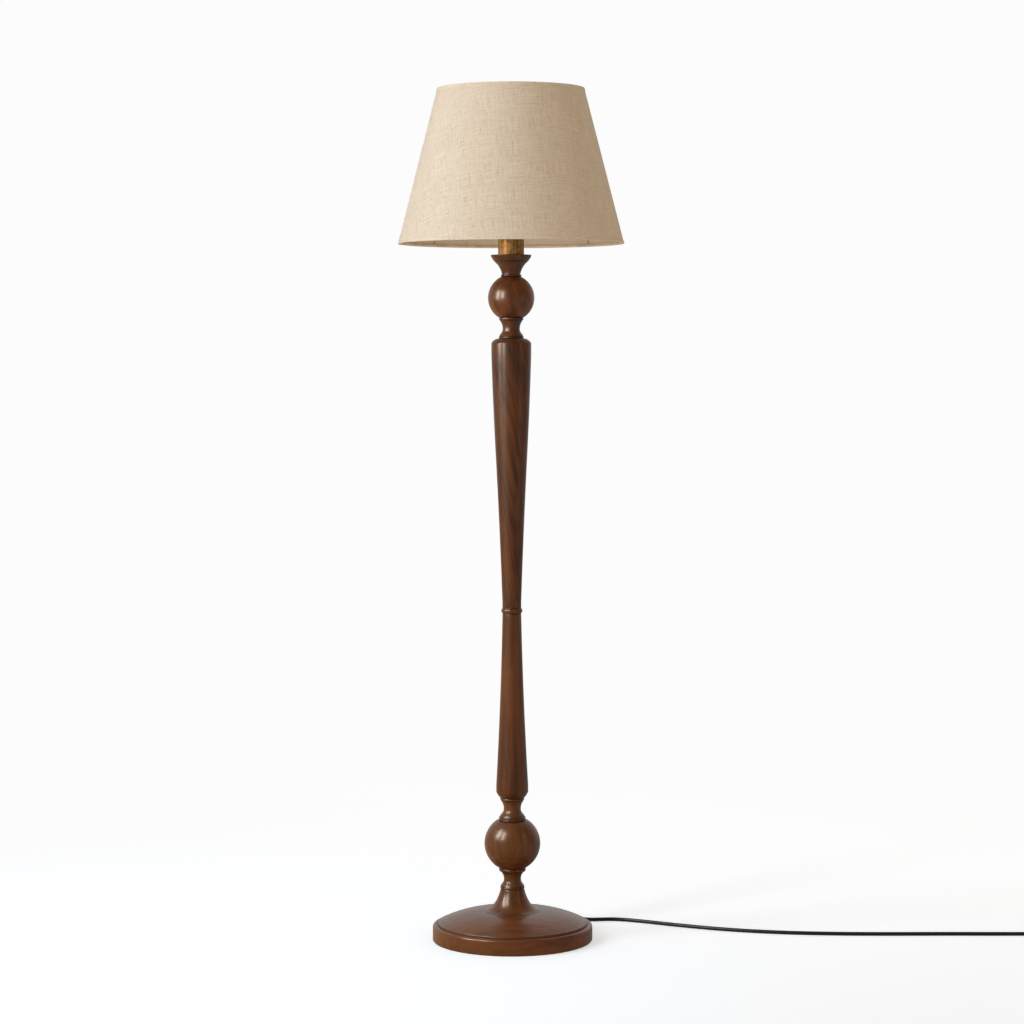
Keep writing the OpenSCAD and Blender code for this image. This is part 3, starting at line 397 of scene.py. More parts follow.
def makeWalnutGroup(s):
    group, given = newGroup("walnutFigure", {
        "Place": "Vector", "Ring Width": "Float", "Wander": "Float", "Ring Strength": "Float",
        "Light Wood": "Color", "Dark Wood": "Color",
    }, {"Color": "Color", "Roughness": "Float", "Height": "Float"})
    place = given["Place"]
    noise = {name: noiseAt(place, *rest, stretch=(1, 1, along))
             for name, (along, *rest) in figureNoise.items()}
    wander = times(minus(noise["wander"], 0.5), given["Wander"])
    axes = axesOf(place)
    fromPith = calc("SQRT", plus(times(axes[0], axes[0]), times(axes[1], axes[1])))
    part = calc("FRACT", calc("DIVIDE", plus(fromPith, wander), given["Ring Width"]))
    ring = times(calc("POWER", part, s.lateWood), remap(part, s.ringEdge, 1.0, 1.0, 0.0))
    darkness = times(ring, given["Ring Strength"])
    for name, limits in figureDarkens.items():
        darkness = plus(darkness, remap(noise[name], *limits))
    wood = mixColours(darkness, given["Light Wood"], given["Dark Wood"])
    tint = mixColours(remap(noise["hue"], 0.44, 0.64), s.coolTint, s.warmTint)
    wood = mixColours(1.0, wood, tint, "MULTIPLY")
    pores = remap(noise["pores"], 0.66, 0.74)
    fibres = remap(noise["fibre"], 0.35, 0.7, 0.0, s.fibreShare)
    wood = layered(wood, (fibres, s.fibreColour), (times(pores, s.poreShare), s.poreColour))
    satin = remap(noise["streak"], 0.3, 0.7, *s.satin)
    put("NodeGroupOutput", {
        "Color": wood, "Roughness": plus(satin, times(pores, s.poreRough)),
        "Height": minus(times(noise["fibre"], s.fibreHeight), pores)})
    return group


def newMaskGroup(name):
    return newGroup(name, {"Amount": "Float", "Place": "Vector"}, {"Mask": "Float"})


def giveMask(group, given, first, second):
    mask = times(times(first, second), given["Amount"])
    put("NodeGroupOutput", {"Mask": mask})
    return group


def maskOf(group, place, amount):
    return useGroup(group, {"Amount": amount, "Place": place})["Mask"]


def makeEdgeRubAndHighlightGroup():
    group, given = newMaskGroup("edgeRubAndPaintedHighlight")
    # lighter on sharp convex edges: partly rub, partly a painted edge highlight
    ridge = remap(put("ShaderNodeNewGeometry")["Pointiness"], 0.515, 0.56)
    broken = remap(noiseAt(given["Place"], 160.0, 4.0), 0.35, 0.62)
    return giveMask(group, given, ridge, broken)


def makeDustGroup():
    group, given = newMaskGroup("settledDust")
    facing = remap(axesOf(put("ShaderNodeNewGeometry")["Normal"])[2], 0.35, 0.95)
    uneven = remap(noiseAt(given["Place"], 55.0, 5.0, 0.65), 0.3, 0.75, 0.25, 1.0)
    return giveMask(group, given, facing, uneven)


# heights in millimetres where one turned piece meets the next, or steps in; shade is painted in a thin band
# round each
creaseShadeSettings = Settings(
    heights=[92.5, 96.8, 123.8, 130.5, 215.2, 222.3, 251.3, 256.0, 586.0, 596.0, 1074.0, 1077.5,
             1106.3, 1111.0, 1183.0, 1209.6, 1221.0],
    full=0.35, reach=1.3,
)


def makeCreaseShadeGroup(s):
    # painted shade darkens a thin band round each crease, where shade falls, with a little stain and old wax
    # there too
    group, given = newMaskGroup("paintedCreaseShadeAndStain")
    up = axesOf(given["Place"])[2]
    nearest = 1.0
    for height in s.heights:
        nearest = calc("MINIMUM", nearest, calc("ABSOLUTE", minus(up, height * mm)))
    line = remap(nearest, s.full * mm, s.reach * mm, 1.0, 0.0)
    uneven = remap(noiseAt(given["Place"], 210.0, 3.0), 0.3, 0.6, 0.7, 1.0)
    return giveMask(group, given, line, uneven)


weaveSettings = Settings(
    wobble=0.0006, slubStretch=0.16, slubScale=430.0, thick=(0.58, 0.70),
    thin=(0.33, 0.41, 1.0, 0.0), yarnStretch=0.03, yarnScale=760.0, fleckStretch=0.35,
    fleckScale=420.0, fleckFrom=(0.70, 0.75), crossHeight=0.5, slubHeight=1.1,
    crossTone=0.10, thinTone=0.17, yarnTone=0.62, cloudTone=0.05,
)


def makeWeaveGroup(s):
    # a plain weave with slubs; the place is in metres on the flat cloth
    group, given = newGroup(
        "plainWeave", {"Place": "Vector", "Thread": "Float", "Slubs": "Float"},
        {"Height": "Float", "Tone": "Float", "Slub Mask": "Float", "Fleck Mask": "Float"})
    place = given["Place"]
    axes = axesOf(place)
    wobble = times(minus(noiseAt(place, 130.0, 2.0), 0.5), s.wobble)
    waves, slubs, yarns = [], [], []
    for axis in (0, 1):
        thread = calc("DIVIDE", plus(axes[axis], wobble), given["Thread"])
        waves.append(calc("SINE", times(thread, math.pi)))
        slubWay, yarnWay = [1, 1, 1], [1, 1, 1]
        slubWay[1 - axis], yarnWay[1 - axis] = s.slubStretch, s.yarnStretch
        slubs.append(noiseAt(place, s.slubScale, 2.0, 0.6, stretch=slubWay))
        yarns.append(noiseAt(place, s.yarnScale, 1.0, stretch=yarnWay))
    crossing = times(*waves)
    thick, thin = [calc("MAXIMUM", *[remap(slub, *s[name]) for slub in slubs])
                   for name in ("thick", "thin")]
    slub = times(thick, given["Slubs"])
    height = plus(times(crossing, s.crossHeight), times(slub, s.slubHeight))
    tone = minus(times(crossing, s.crossTone), times(thin, s.thinTone))
    tone = plus(tone, times(minus(plus(*yarns), 1.0), s.yarnTone))
    cloud = remap(noiseAt(place, 26.0, 4.0), 0.3, 0.7, -0.5, 0.5)
    tone = plus(tone, times(cloud, s.cloudTone))
    fleckNoise = noiseAt(place, s.fleckScale, 1.0, stretch=(1, s.fleckStretch, 1))
    put("NodeGroupOutput", {
        "Height": height, "Tone": tone, "Slub Mask": slub,
        "Fleck Mask": remap(fleckNoise, *s.fleckFrom)})
    return group


def makeFineGrainGroup():
    group, given = newGroup(
        "fineGrain", {"Place": "Vector", "Scale": "Float"}, {"Height": "Float", "Patch": "Float"})
    put("NodeGroupOutput", {
        "Height": noiseAt(given["Place"], given["Scale"], 3.0, 0.6),
        "Patch": noiseAt(given["Place"], 42.0, 4.0, 0.6)})
    return group


walnutGroup = makeWalnutGroup(figureSettings)
edgeRubAndHighlightGroup = makeEdgeRubAndHighlightGroup()
dustGroup = makeDustGroup()
creaseShadeGroup = makeCreaseShadeGroup(creaseShadeSettings)
weaveGroup = makeWeaveGroup(weaveSettings)
fineGrainGroup = makeFineGrainGroup()
print("shared effects made")


# materials

walnutSettings = Settings(
    ringWidth=0.0045, wander=0.012, rings=0.30, coat=0.6, coatRoughness=0.25, ior=1.24,
    light=(0.172, 0.0520, 0.0088), dark=(0.039, 0.0096, 0.0019),
    rub=0.4, rubbed=(0.20, 0.095, 0.045), stain=0.75, stained=(0.009, 0.004, 0.002),
    dust=0.015, dusty=(0.42, 0.39, 0.35), dustRough=0.6, depth=0.000015, relief=0.3,
)
# one blank of wood each: where the tree's pith runs beside the piece, and how its rings look
walnutBlanks = {
    "base": Settings(
        move=(0.55, 0.10, 0.0), turn=(0, 90, 4), ringWidth=0.011, wander=0.05, rings=0.08,
        light=(0.190, 0.060, 0.0120), dark=(0.090, 0.026, 0.0055)),
    "pedestal": Settings(move=(0.05, 0.06, 0.3), turn=(3, -4, 20), ringWidth=0.0046, wander=0.016),
    "lowerBall": Settings(
        move=(-0.035, 0.07, 0.1), turn=(8, 5, 60), ringWidth=0.0052, wander=0.020, rings=0.16,
        light=(0.188, 0.061, 0.0125), dark=(0.072, 0.021, 0.0045)),
    "lowerColumn": Settings(
        move=(0.022, 0.055, 0.7), turn=(1.6, -2.0, 0), ringWidth=0.0042, wander=0.014,
        light=(0.164, 0.0475, 0.0080), coat=0.5),
    "ring": Settings(move=(0.06, 0.03, 0.2), turn=(0, 6, 30), ringWidth=0.0042),
    "upperColumn": Settings(
        move=(-0.20, 0.042, 0.3), turn=(-2, 14, 0), ringWidth=0.0072, wander=0.034, rings=0.42,
        light=(0.151, 0.0455, 0.0080), coat=0.4),
    "topSpool": Settings(
        move=(0.03, -0.06, 0.9), turn=(5, 3, 80), ringWidth=0.0046, light=(0.138, 0.0425, 0.0074)),
    "upperBall": Settings(move=(0.045, 0.05, 0.4), turn=(-6, 8, 140), ringWidth=0.0050, wander=0.018),
    "cup": Settings(
        move=(-0.05, 0.045, 0.2), turn=(4, -6, 10), ringWidth=0.0050, wander=0.014, rings=0.26,
        light=(0.135, 0.047, 0.0115)),
}


def makeWalnut(blank):
    s = Settings(walnutSettings, **walnutBlanks[blank])
    name = "walnut" + blank[0].upper() + blank[1:]
    material = newMaterial(name, Coat_Weight=s.coat, Coat_Roughness=s.coatRoughness, IOR=s.ior)
    plain = objectPlace()
    figure = useGroup(walnutGroup, {
        "Place": objectPlace(s.move, s.turn), "Ring Width": s.ringWidth, "Wander": s.wander,
        "Ring Strength": s.rings, "Light Wood": s.light, "Dark Wood": s.dark})
    dust = maskOf(dustGroup, plain, s.dust)
    colour = layered(
        # rub and painted highlight on the sharp edges
        figure["Color"], (maskOf(edgeRubAndHighlightGroup, plain, s.rub), s.rubbed),
        # painted shade and stain in the creases
        (maskOf(creaseShadeGroup, plain, s.stain), s.stained), (dust, s.dusty))
    rough = plus(figure["Roughness"], times(dust, s.dustRough))
    return wire(material, colour, figure["Height"], s.depth, s.relief, rough)


def makeLinen(name, base=(0.79, 0.685, 0.545), thread=0.0006, slubs=1.0, sheen=0.35, shine=0.25):
    material = newMaterial(
        name, Roughness=0.85, Sheen_Weight=sheen, Sheen_Roughness=0.5, IOR=1.4, Specular_IOR_Level=shine)
    place = put("ShaderNodeUVMap")[0]
    weave = useGroup(weaveGroup, {"Place": place, "Thread": thread, "Slubs": slubs})
    dark = tuple(share * c for share, c in zip((0.72, 0.65, 0.56), base))
    pale = tuple(min(1, 1.12 * c) for c in base)
    colour = layered(
        dark, (remap(weave["Tone"], -0.4, 0.25), pale), (times(weave["Slub Mask"], 0.5), pale),
        (times(weave["Fleck Mask"], 0.6), (0.33, 0.22, 0.125)))
    return wire(material, colour, weave["Height"], 0.00022, 0.8)


def makeSmoothMetal(name, colour, roughness, tarnish, fine, rubbed=None, spread=0.12, depth=0.00001):
    material = newMaterial(name, Metallic=1.0)
    place = objectPlace()
    grain = useGroup(fineGrainGroup, {"Place": place, "Scale": fine})
    layers = [(remap(grain["Patch"], 0.35, 0.75, 0.0, 0.6), tarnish)]
    if rubbed:
        layers.append((maskOf(edgeRubAndHighlightGroup, place, 0.7), rubbed))
    rough = remap(grain["Patch"], 0.3, 0.7, roughness, roughness + spread)
    rough = plus(rough, times(maskOf(dustGroup, place, 0.12), 0.5))
    return wire(material, layered(colour, *layers), grain["Height"], depth, 0.5, rough)


# the sleeve's colours hold painted shade and painted reflection bands
brassSettings = Settings(
    shift=(0.013, 0.0, 0.0), along=(1, 1, 0.001), barScale=470.0, lineScale=1500.0,
    copper=(0.245, 0.088, 0.033), olive=(0.32, 0.212, 0.086), spot=(0.17, 0.085, 0.035),
    spotShare=0.10, rub=0.6, rubbed=(0.66, 0.44, 0.19), rough=(0.72, 0.56), depth=0.00001,
)


def makeBrassWithPaintedBands(s):
    # aged brass tube, its colour painted darker for the shade under the lampshade, with painted reflection
    # bands from copper to olive along it and drawing lines in its relief
    material = newMaterial("brassPaintedShadeAndBands", Metallic=1.0)
    place = objectPlace()
    paintedReflectionBands = noiseAt(objectPlace(s.shift), s.barScale, 1.0, 0.5, stretch=s.along)
    lines = noiseAt(place, s.lineScale, 2.0, stretch=s.along)
    spots = useGroup(fineGrainGroup, {"Place": place, "Scale": 900.0})["Patch"]
    colour = layered(
        s.copper, (remap(paintedReflectionBands, 0.44, 0.57), s.olive),
        (remap(spots, 0.45, 0.8, 0.0, s.spotShare), s.spot),
        (maskOf(edgeRubAndHighlightGroup, place, s.rub), s.rubbed))
    return wire(material, colour, lines, s.depth, 0.5, remap(paintedReflectionBands, 0.35, 0.65, *s.rough))


def makeMoulded(name, colour, roughness, fine=1100.0, depth=0.00003, second=None, coat=0.0):
    material = newMaterial(name, IOR=1.5, Coat_Weight=coat)
    place = objectPlace()
    grain = useGroup(fineGrainGroup, {"Place": place, "Scale": fine})
    mottled = second or tuple(min(1, c * 1.5 + 0.004) for c in colour)
    edgeWornAndHighlitColour = tuple(min(1, c * 1.6 + 0.03) for c in colour)
    shade = layered(
        colour, (remap(grain["Patch"], 0.35, 0.7), mottled),
        (maskOf(edgeRubAndHighlightGroup, place, 0.5), edgeWornAndHighlitColour),
        (maskOf(dustGroup, place, 0.10), (0.42, 0.40, 0.37)))
    rough = remap(grain["Patch"], 0.3, 0.7, roughness - 0.05, roughness + 0.1)
    return wire(material, shade, grain["Height"], depth, 0.6, rough)


def makeFlexSheath():
    # smooth black sheath with faint drawing lines along it and handling scuffs
    material = newMaterial("flexSheath", IOR=1.5)
    run = put("ShaderNodeUVMap")[0]
    lines = noiseAt(run, 2400.0, 2.0, stretch=(0.02, 1, 1))
    scuffs = remap(noiseAt(run, 210.0, 5.0, 0.7, stretch=(0.3, 1, 1)), 0.58, 0.72)
    colour = layered(
        (0.0075, 0.0075, 0.008), (times(scuffs, 0.5), (0.026, 0.025, 0.024)),
        (maskOf(dustGroup, objectPlace(), 0.07), (0.40, 0.38, 0.35)))
    rough = plus(remap(lines, 0.3, 0.7, 0.36, 0.46), times(scuffs, 0.2))
    return wire(material, colour, lines, 0.00003, 0.5, rough)


def makeFelt():
    material = newMaterial(
        "greenFelt", Roughness=0.95, Sheen_Weight=0.2, Sheen_Roughness=0.6, Specular_IOR_Level=0.1)
    place = objectPlace()
    fuzz, tuft = noiseAt(place, 1400.0, 4.0, 0.7), noiseAt(place, 160.0, 3.0)
    colour = layered(
        (0.010, 0.035, 0.018), (fuzz, (0.035, 0.085, 0.05)),
        (remap(tuft, 0.45, 0.7, 0.0, 0.5), (0.05, 0.10, 0.07)))
    return wire(material, colour, fuzz, 0.0003, 0.8)


def makeLining():
    # thin sheet behind the linen, with the cloth's threads showing through faintly
    material = newMaterial("shadeLining", IOR=1.3, Specular_IOR_Level=0.1)
    place = put("ShaderNodeUVMap")[0]
    weave = useGroup(weaveGroup, {"Place": place, "Thread": 0.0006, "Slubs": 0.5})
    colour = layered((0.80, 0.70, 0.56), (remap(weave["Tone"], -0.35, 0.25), (0.90, 0.81, 0.67)))
    rough = remap(weave["Slub Mask"], 0, 1, 0.85, 0.95)
    return wire(material, colour, weave["Height"], 0.00005, 0.4, rough)


def makeClouded(name, cloud, first, second, depth, relief, rough=None, waves=None, **plain):
    # a noise (scale, detail) drifts between two tones; its own relief unless other waves are given
    material = newMaterial(name, **plain)
    place = objectPlace()
    drift = noiseAt(place, *cloud)
    height = noiseAt(place, *waves) if waves else drift
    satin = remap(drift, 0.3, 0.7, *rough) if rough else None
    return wire(material, mixColours(drift, first, second), height, depth, relief, satin)


walnuts = {blank: makeWalnut(blank) for blank in walnutBlanks}
linen = makeLinen("oatmealLinen")
tapeLinen = makeLinen("tapeLinen", base=(0.80, 0.70, 0.56), slubs=0.6, sheen=0.0, shine=0.0)
strapWeb = makeLinen("strapWebbing", base=(0.014, 0.014, 0.015), thread=0.0009, slubs=0.0)
lining = makeLining()
brass = makeBrassWithPaintedBands(brassSettings)
innerBrass = makeSmoothMetal("plainBrass", (0.74, 0.53, 0.24), 0.3, tarnish=(0.48, 0.33, 0.15), fine=800.0)
steel = makeSmoothMetal(
    "zincSteel", (0.60, 0.61, 0.63), 0.32, tarnish=(0.44, 0.45, 0.47), fine=800.0, rubbed=(0.75, 0.76, 0.78))
iron = makeSmoothMetal(
    "castIron", (0.075, 0.074, 0.076), 0.62, tarnish=(0.05, 0.045, 0.04), fine=420.0,
    rubbed=(0.20, 0.19, 0.19), spread=0.15, depth=0.00035)
capMetal = makeSmoothMetal("capMetal", (0.76, 0.74, 0.70), 0.25, tarnish=(0.58, 0.56, 0.52), fine=600.0)
blackPlastic = makeMoulded("blackMoulding", (0.012, 0.011, 0.011), 0.34, coat=0.15)
framePaint = makeMoulded("framePaint", (0.66, 0.57, 0.44), 0.55)
rubber = makeMoulded("plugRubber", (0.009, 0.009, 0.0095), 0.5, fine=1500.0, depth=0.00006)
coreSleeve = makeMoulded("coreSleeve", (0.11, 0.045, 0.018), 0.4)
ceramic = makeMoulded(
    "ceramicWhite", (0.80, 0.78, 0.72), 0.45, fine=1300.0, depth=0.00005, second=(0.74, 0.71, 0.64))
flexSheath = makeFlexSheath()
felt = makeFelt()
opalGlass = makeClouded(
    "opalGlass", (60.0, 4.0), (0.90, 0.89, 0.85), (0.97, 0.965, 0.94), depth=0.00003, relief=0.2,
    rough=(0.22, 0.34), waves=(18.0, 2.0), IOR=1.5, Transmission_Weight=0.1, Metallic=0.0)
stemGlass = makeClouded(
    "stemGlass", (90.0, 2.0), (0.93, 0.95, 0.94), (0.98, 0.99, 0.98), depth=0.0003, relief=0.4,
    rough=(0.02, 0.08), IOR=1.5, Transmission_Weight=1.0, Metallic=0.0)
phosphor = makeClouded(
    "filamentCoat", (900.0, 3.0), (0.75, 0.55, 0.10), (0.90, 0.74, 0.24), depth=0.0001, relief=0.5,
    Roughness=0.6)
print("materials made:", len(bpy.data.materials))


# the lathe: one Geometry Nodes tree that turns an outline round the stem's axis

def makeLatheTree():
    tree, given = newGroup("turnOnLathe", {
        "Outline": "Geometry", "Segments": "Int", "Outline Points": "Int", "Crease Angle": "Float",
        "Finish": "Material"}, {"Turned": "Geometry"}, "GeometryNodeTree")
    grid = put("GeometryNodeMeshGrid", {
        "Size X": 1.0, "Size Y": 1.0, "Vertices X": plus(given["Segments"], 1.0),
        "Vertices Y": given["Outline Points"]})["Mesh"]
    spot = axesOf(put("GeometryNodeInputPosition")[0])
    lastPoint = minus(given["Outline Points"], 1.0)
    which = calc("ROUND", times(plus(spot[1], 0.5), lastPoint))
    there = put("GeometryNodeSampleIndex", {
        0: given["Outline"], "Value": put("GeometryNodeInputPosition")[0], "Index": which,
    }, data_type="FLOAT_VECTOR")
    profile = axesOf(there[0])
    angle = times(plus(spot[0], 0.5), 2 * math.pi)
    ring = put("ShaderNodeCombineXYZ", {
        0: times(profile[0], calc("COSINE", angle)),
        1: times(profile[0], calc("SINE", angle)), 2: profile[2]})[0]
    limits = {0: put("GeometryNodeInputMeshEdgeAngle")["Unsigned Angle"], 1: given["Crease Angle"]}
    sharp = put("FunctionNodeCompare", limits, data_type="FLOAT", operation="GREATER_THAN")[0]
    shape = grid
    for step, inputs, settings in (
            ("SetPosition", {"Position": ring}, {}),
            ("MergeByDistance", {"Distance": 0.000004}, {}),
            ("SetShadeSmooth", {"Shade Smooth": True}, {"domain": "FACE"}),
            ("SetShadeSmooth", {"Selection": sharp, "Shade Smooth": False}, {"domain": "EDGE"}),
            ("RealizeInstances", {}, {}),
            ("SetMaterial", {"Material": given["Finish"]}, {})):
        shape = put("GeometryNode" + step, {"Geometry": shape, **inputs}, **settings)[0]
    put("NodeGroupOutput", {"Turned": shape})
    return tree


latheTree = makeLatheTree()


def turnPiece(name, outline, finish, segments=96, z=0.0, crease=0.6, soften=0.35):
    # the outline is a closed loop of (radius, height) in millimetres
    loop = softenCorners(outline, soften) if soften else list(outline)
    loop.append(loop[0])
    points = [(max(0.0, r) * mm, 0, (h + z) * mm) for r, h in loop]
    mesh = bpy.data.meshes.new(name)
    mesh.from_pydata(points, [(i, i + 1) for i in range(len(points) - 1)], [])
    piece = newObject(name, mesh)
    modifier = piece.modifiers.new("turnOnLathe", "NODES")
    modifier.node_group = latheTree
    values = {"Segments": segments, "Outline Points": len(points), "Crease Angle": crease, "Finish": finish}
    for item in latheTree.interface.items_tree:
        if item.name in values:
            modifier[item.identifier] = values[item.name]
    bpy.context.view_layer.update()
    makePlain(piece)
    # a closed outline that touches the axis leaves faces of no area there
    editMesh(piece.data, lambda b: bmesh.ops.dissolve_degenerate(b, dist=1e-7, edges=b.edges))
    faceOutwards(piece.data)
    return piece


def addPiece(piece, body, slotName, *replaced):
    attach(piece, body)
    if replaced:
        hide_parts(*replaced)
    return piece


def layAtExit(piece, radius):
    # lays a piece that was turned on the stem's axis along the flex's way out of the rim
    angle = math.radians(flexSettings.exitAngle)
    place = (radius * math.cos(angle), radius * math.sin(angle), flexSettings.exitHeight * mm)
    outwards = Matrix.Rotation(angle, 4, "Z") @ Matrix.Rotation(math.pi / 2, 4, "Y")
    piece.data.transform(Matrix.Translation(place) @ outwards)


# turned walnut: base, stem, balls and cup, in millimetres
woodSettings = Settings(
    boreRadius=5.3, spigotRadius=9.0, spigotLength=8.0, socketRadius=9.1, socketDepth=8.5, segments=112,
    waist=15.2, waistCurve=[(0, 1), (0.1, 0.76), (0.2, 0.43), (0.3, 0.15), (0.42, 0.01), (0.55, 0.02),
                            (0.68, 0.14), (0.8, 0.36), (0.91, 0.67), (1, 1)],
)


def bead(core, outer, low, high):
    return [(core, low)] + bow((core, low), (core, high), outer - core, 12)


def waist(low, high, lowEnd, highEnd):
    # narrowest a little below the middle, with the faster flare at its lower end
    narrow = woodSettings.waist
    line = [(narrow + out * ((lowEnd if up < 0.5 else highEnd) - narrow), low + up * (high - low))
            for up, out in woodSettings.waistCurve]
    return [tuple(p) for p in splineThrough(line, 5)]


def spigotLine(length):
    s = woodSettings
    return [(s.boreRadius, -length), (s.spigotRadius, -length), (s.spigotRadius, 0.0)]


def socketLine(height, wide):
    # the socket for the next spigot, and the step in to a bore of this radius
    s = woodSettings
    floor = height - s.socketDepth
    return [(s.socketRadius, height), (s.socketRadius, floor), (wide, floor)]


# the beads at the foot are (core, outer, low, high), the one at the head (core, outer, height), and
# the waist is (start, radius at its lower end, radius at its upper end)
def spoolOutline(s):
    core, outer, thick = s.head
    start, lowEnd, highEnd = s.waist
    line = [p for row in s.foot for p in bead(*row)]
    line += waist(start, s.height - thick, lowEnd, highEnd)
    return line + bead(core, outer, s.height - thick, s.height)


def ballOutline(s):
    first, last = -math.asin(s.down / s.radius), math.asin(s.up / s.radius)
    return arc((0.0, s.down), s.radius, first, last - first, 44)


def coneOutline(s):
    foot, knee, top = s.foot, s.knee, s.height - s.topEdge
    curve = [(foot, s.edge), (knee[0] + s.aimShare * knee[1], s.edge + s.aimUp), knee]
    line = [tuple(p) for p in bend(*np.array(curve), np.linspace(0, 1, 21))]
    return [(foot, 0.0)] + line + bow(knee, (s.topRadius, top), -1.0, 16) + [(s.topIn, s.height)]


def lowColumnOutline(s):
    foot, widest, full = (s.foot, 0.0), (s.radius, s.wideFrom), (s.radius, s.wideTo)
    line = [foot] + bow(foot, widest, s.footBow, 10) + [full]
    return line + bow(full, (s.top, s.height), s.taperBow, 40)


def highColumnOutline(s):
    h, thin, wide = s.height, s.foot, s.radius
    start, under = s.startShare * h, h - s.shoulder
    middle = (thin + s.middleOut * (wide - thin), s.middleUp * h)
    line = [(thin, 0.0), (thin, start)] + bow((thin, start), middle, -s.taperBow, 30)
    line += bow(middle, (wide, under - s.shoulderShare * h), s.taperBow, 30) + [(wide, under)]
    return line + bow((wide, under), (s.topRadius, h), s.shoulderBow, 16)


# each turning: the height of its seat, the outline's function and its sizes, and its blank of walnut
turnings = {
    "pedestal_cone": Settings(
        seat=53.0, height=39.5, outline=coneOutline, blank="pedestal", foot=50.0,
        edge=0.4, knee=(30.6, 14.7), aimShare=0.6, aimUp=0.8, topEdge=1.2,
        topRadius=21.3, topIn=20.9),
    "lower_spool": Settings(
        seat=92.5, height=38.0, outline=spoolOutline, blank="pedestal",
        foot=[(20.6, 21.7, 0, 4.2)], waist=(4.5, 21.3, 21.0), head=(22.6, 24.0, 6.8)),
    "lower_ball": Settings(
        seat=130.5, height=84.7, outline=ballOutline, blank="lowerBall", radius=49.8,
        down=43.5, up=41.2),
    "foot_spool": Settings(
        seat=215.2, height=40.8, outline=spoolOutline, blank="lowerBall",
        foot=[(22.7, 24.3, 0, 3.4), (22.5, 23.8, 3.4, 7)], waist=(7.2, 22.5, 20.4),
        head=(20.4, 21.5, 4.8)),
    "lower_column": Settings(
        seat=256.0, height=330.0, outline=lowColumnOutline, blank="lowerColumn",
        foot=21.3, radius=28.5, wideFrom=10.5, wideTo=23.5, footBow=0.6, top=16.7,
        taperBow=-1.5, pocket=(7.3, 299.0)),
    "upper_column": Settings(
        seat=596.0, height=478.0, outline=highColumnOutline, blank="upperColumn",
        foot=16.7, radius=35.3, startShare=0.02, middleOut=0.59, middleUp=0.557,
        taperBow=0.6, shoulder=8.3, shoulderShare=0.04, topRadius=22.6, shoulderBow=1.9,
        spigot=18.0),
    "top_spool": Settings(
        seat=1074.0, height=37.0, outline=spoolOutline, blank="topSpool",
        foot=[(21.3, 22.2, 0, 3.4)], waist=(3.6, 21.8, 20.5), head=(20.4, 21.8, 4.8)),
    "upper_ball": Settings(
        seat=1111.0, height=72.0, outline=ballOutline, blank="upperBall", radius=41.1,
        down=34.5, up=37.5),
}


def stemLoop(s):
    # spigot below, the turned outline, then the socket above and the bore for the tube
    bore = woodSettings.boreRadius
    wide, bottom = s.get("pocket", (bore, None))
    loop = spigotLine(s.get("spigot", woodSettings.spigotLength)) + s.outline(s)
    loop += socketLine(s.height, wide)
    return loop + [(wide, bottom), (bore, bottom)] if "pocket" in s else loop


quarterBow = 0.207 * math.sqrt(2)  # how far a quarter circle stands out, for a radius of 1
baseSettings = Settings(
    radius=142.8, height=52.0, ledge=27.5, domeRadius=133.2, domeEdge=31.5, rimRound=4.5,
    edgeRound=1.5, groove=1.0, bulge=4.4, footRound=1.0, footBow=0.29, coneFoot=50.0,
    seat=1.0, recess=(101.0, 18.5), well=(20.0, 41.0), segments=192,
    drillRadius=6.05, drillLength=60.0, drillFrom=95.0,
)


def baseLoop(s):
    r, dome, g, h = s.radius, s.domeRadius, s.groove, s.height
    edge, domeStart = (dome, s.domeEdge - s.edgeRound), (dome - s.edgeRound, s.domeEdge)
    rim, ledge = (r, s.ledge - s.rimRound), (r - s.rimRound, s.ledge)
    foot = (r - s.footRound, 0.0)
    loop = [foot] + bow(foot, (r, s.footRound), s.footBow * s.footRound, 4) + [rim]
    loop += bow(rim, ledge, quarterBow * s.rimRound, 10)
    loop += [(dome + 2 * g, s.ledge), (dome + g, s.ledge - g), (dome, s.ledge - g), edge]
    loop += bow(edge, domeStart, quarterBow * s.edgeRound, 6)
    loop += bow(domeStart, (s.coneFoot, h), s.bulge, 36)
    bore, (well, wellTop), (recess, recessTop) = woodSettings.boreRadius, s.well, s.recess
    hollow = [(bore, wellTop), (well, wellTop), (well, recessTop), (recess, recessTop), (recess, 0.0)]
    return loop + socketLine(h, bore) + hollow


ringSettings = Settings(seat=586.0, height=10.0, bore=9.1, radius=16.7, edge=0.7, bulge=2.2)


def ringLoop(s):
    r, h, low, high = s.radius, s.height, s.edge, s.height - s.edge
    line = [(s.bore, 0.0), (r, 0.0), (r, low)] + bow((r, low), (r, high), s.bulge, 18)
    return line + [(r, h), (s.bore, h)]


cupSettings = Settings(
    seat=1183.0, height=38.0, bead=(17.4, 18.6, 0, 2.8), neck=[(16.6, 3.2), (16.6, 5.0)],
    flareTop=(29.3, 26.0), flareBow=-2.2, cut=(-0.5, 0.5), step=(0.9, 1.0), sideBow=0.4,
    rim=(36.0, 36.6), lip=[(36.0, 0.3), (35.7, 0.0), (34.5, 0.0)], floor=24.5, depth=6.0,
    bowlBow=0.8, segments=128,
)


def cupLoop(s):
    flare, h = s.flareTop, s.height
    cut, step = ((flare[0] + out, flare[1] + up) for out, up in (s.cut, s.step))
    lip = [(r, h - down) for r, down in s.lip]
    loop = bead(*s.bead) + s.neck + bow(s.neck[-1], flare, s.flareBow, 20)
    loop += [cut, step] + bow(step, s.rim, s.sideBow, 10)
    loop += lip + bow(lip[-1], (s.floor, h - s.depth), s.bowlBow, 12)
    return spigotLine(woodSettings.spigotLength) + loop + [(woodSettings.boreRadius, h - s.depth)]


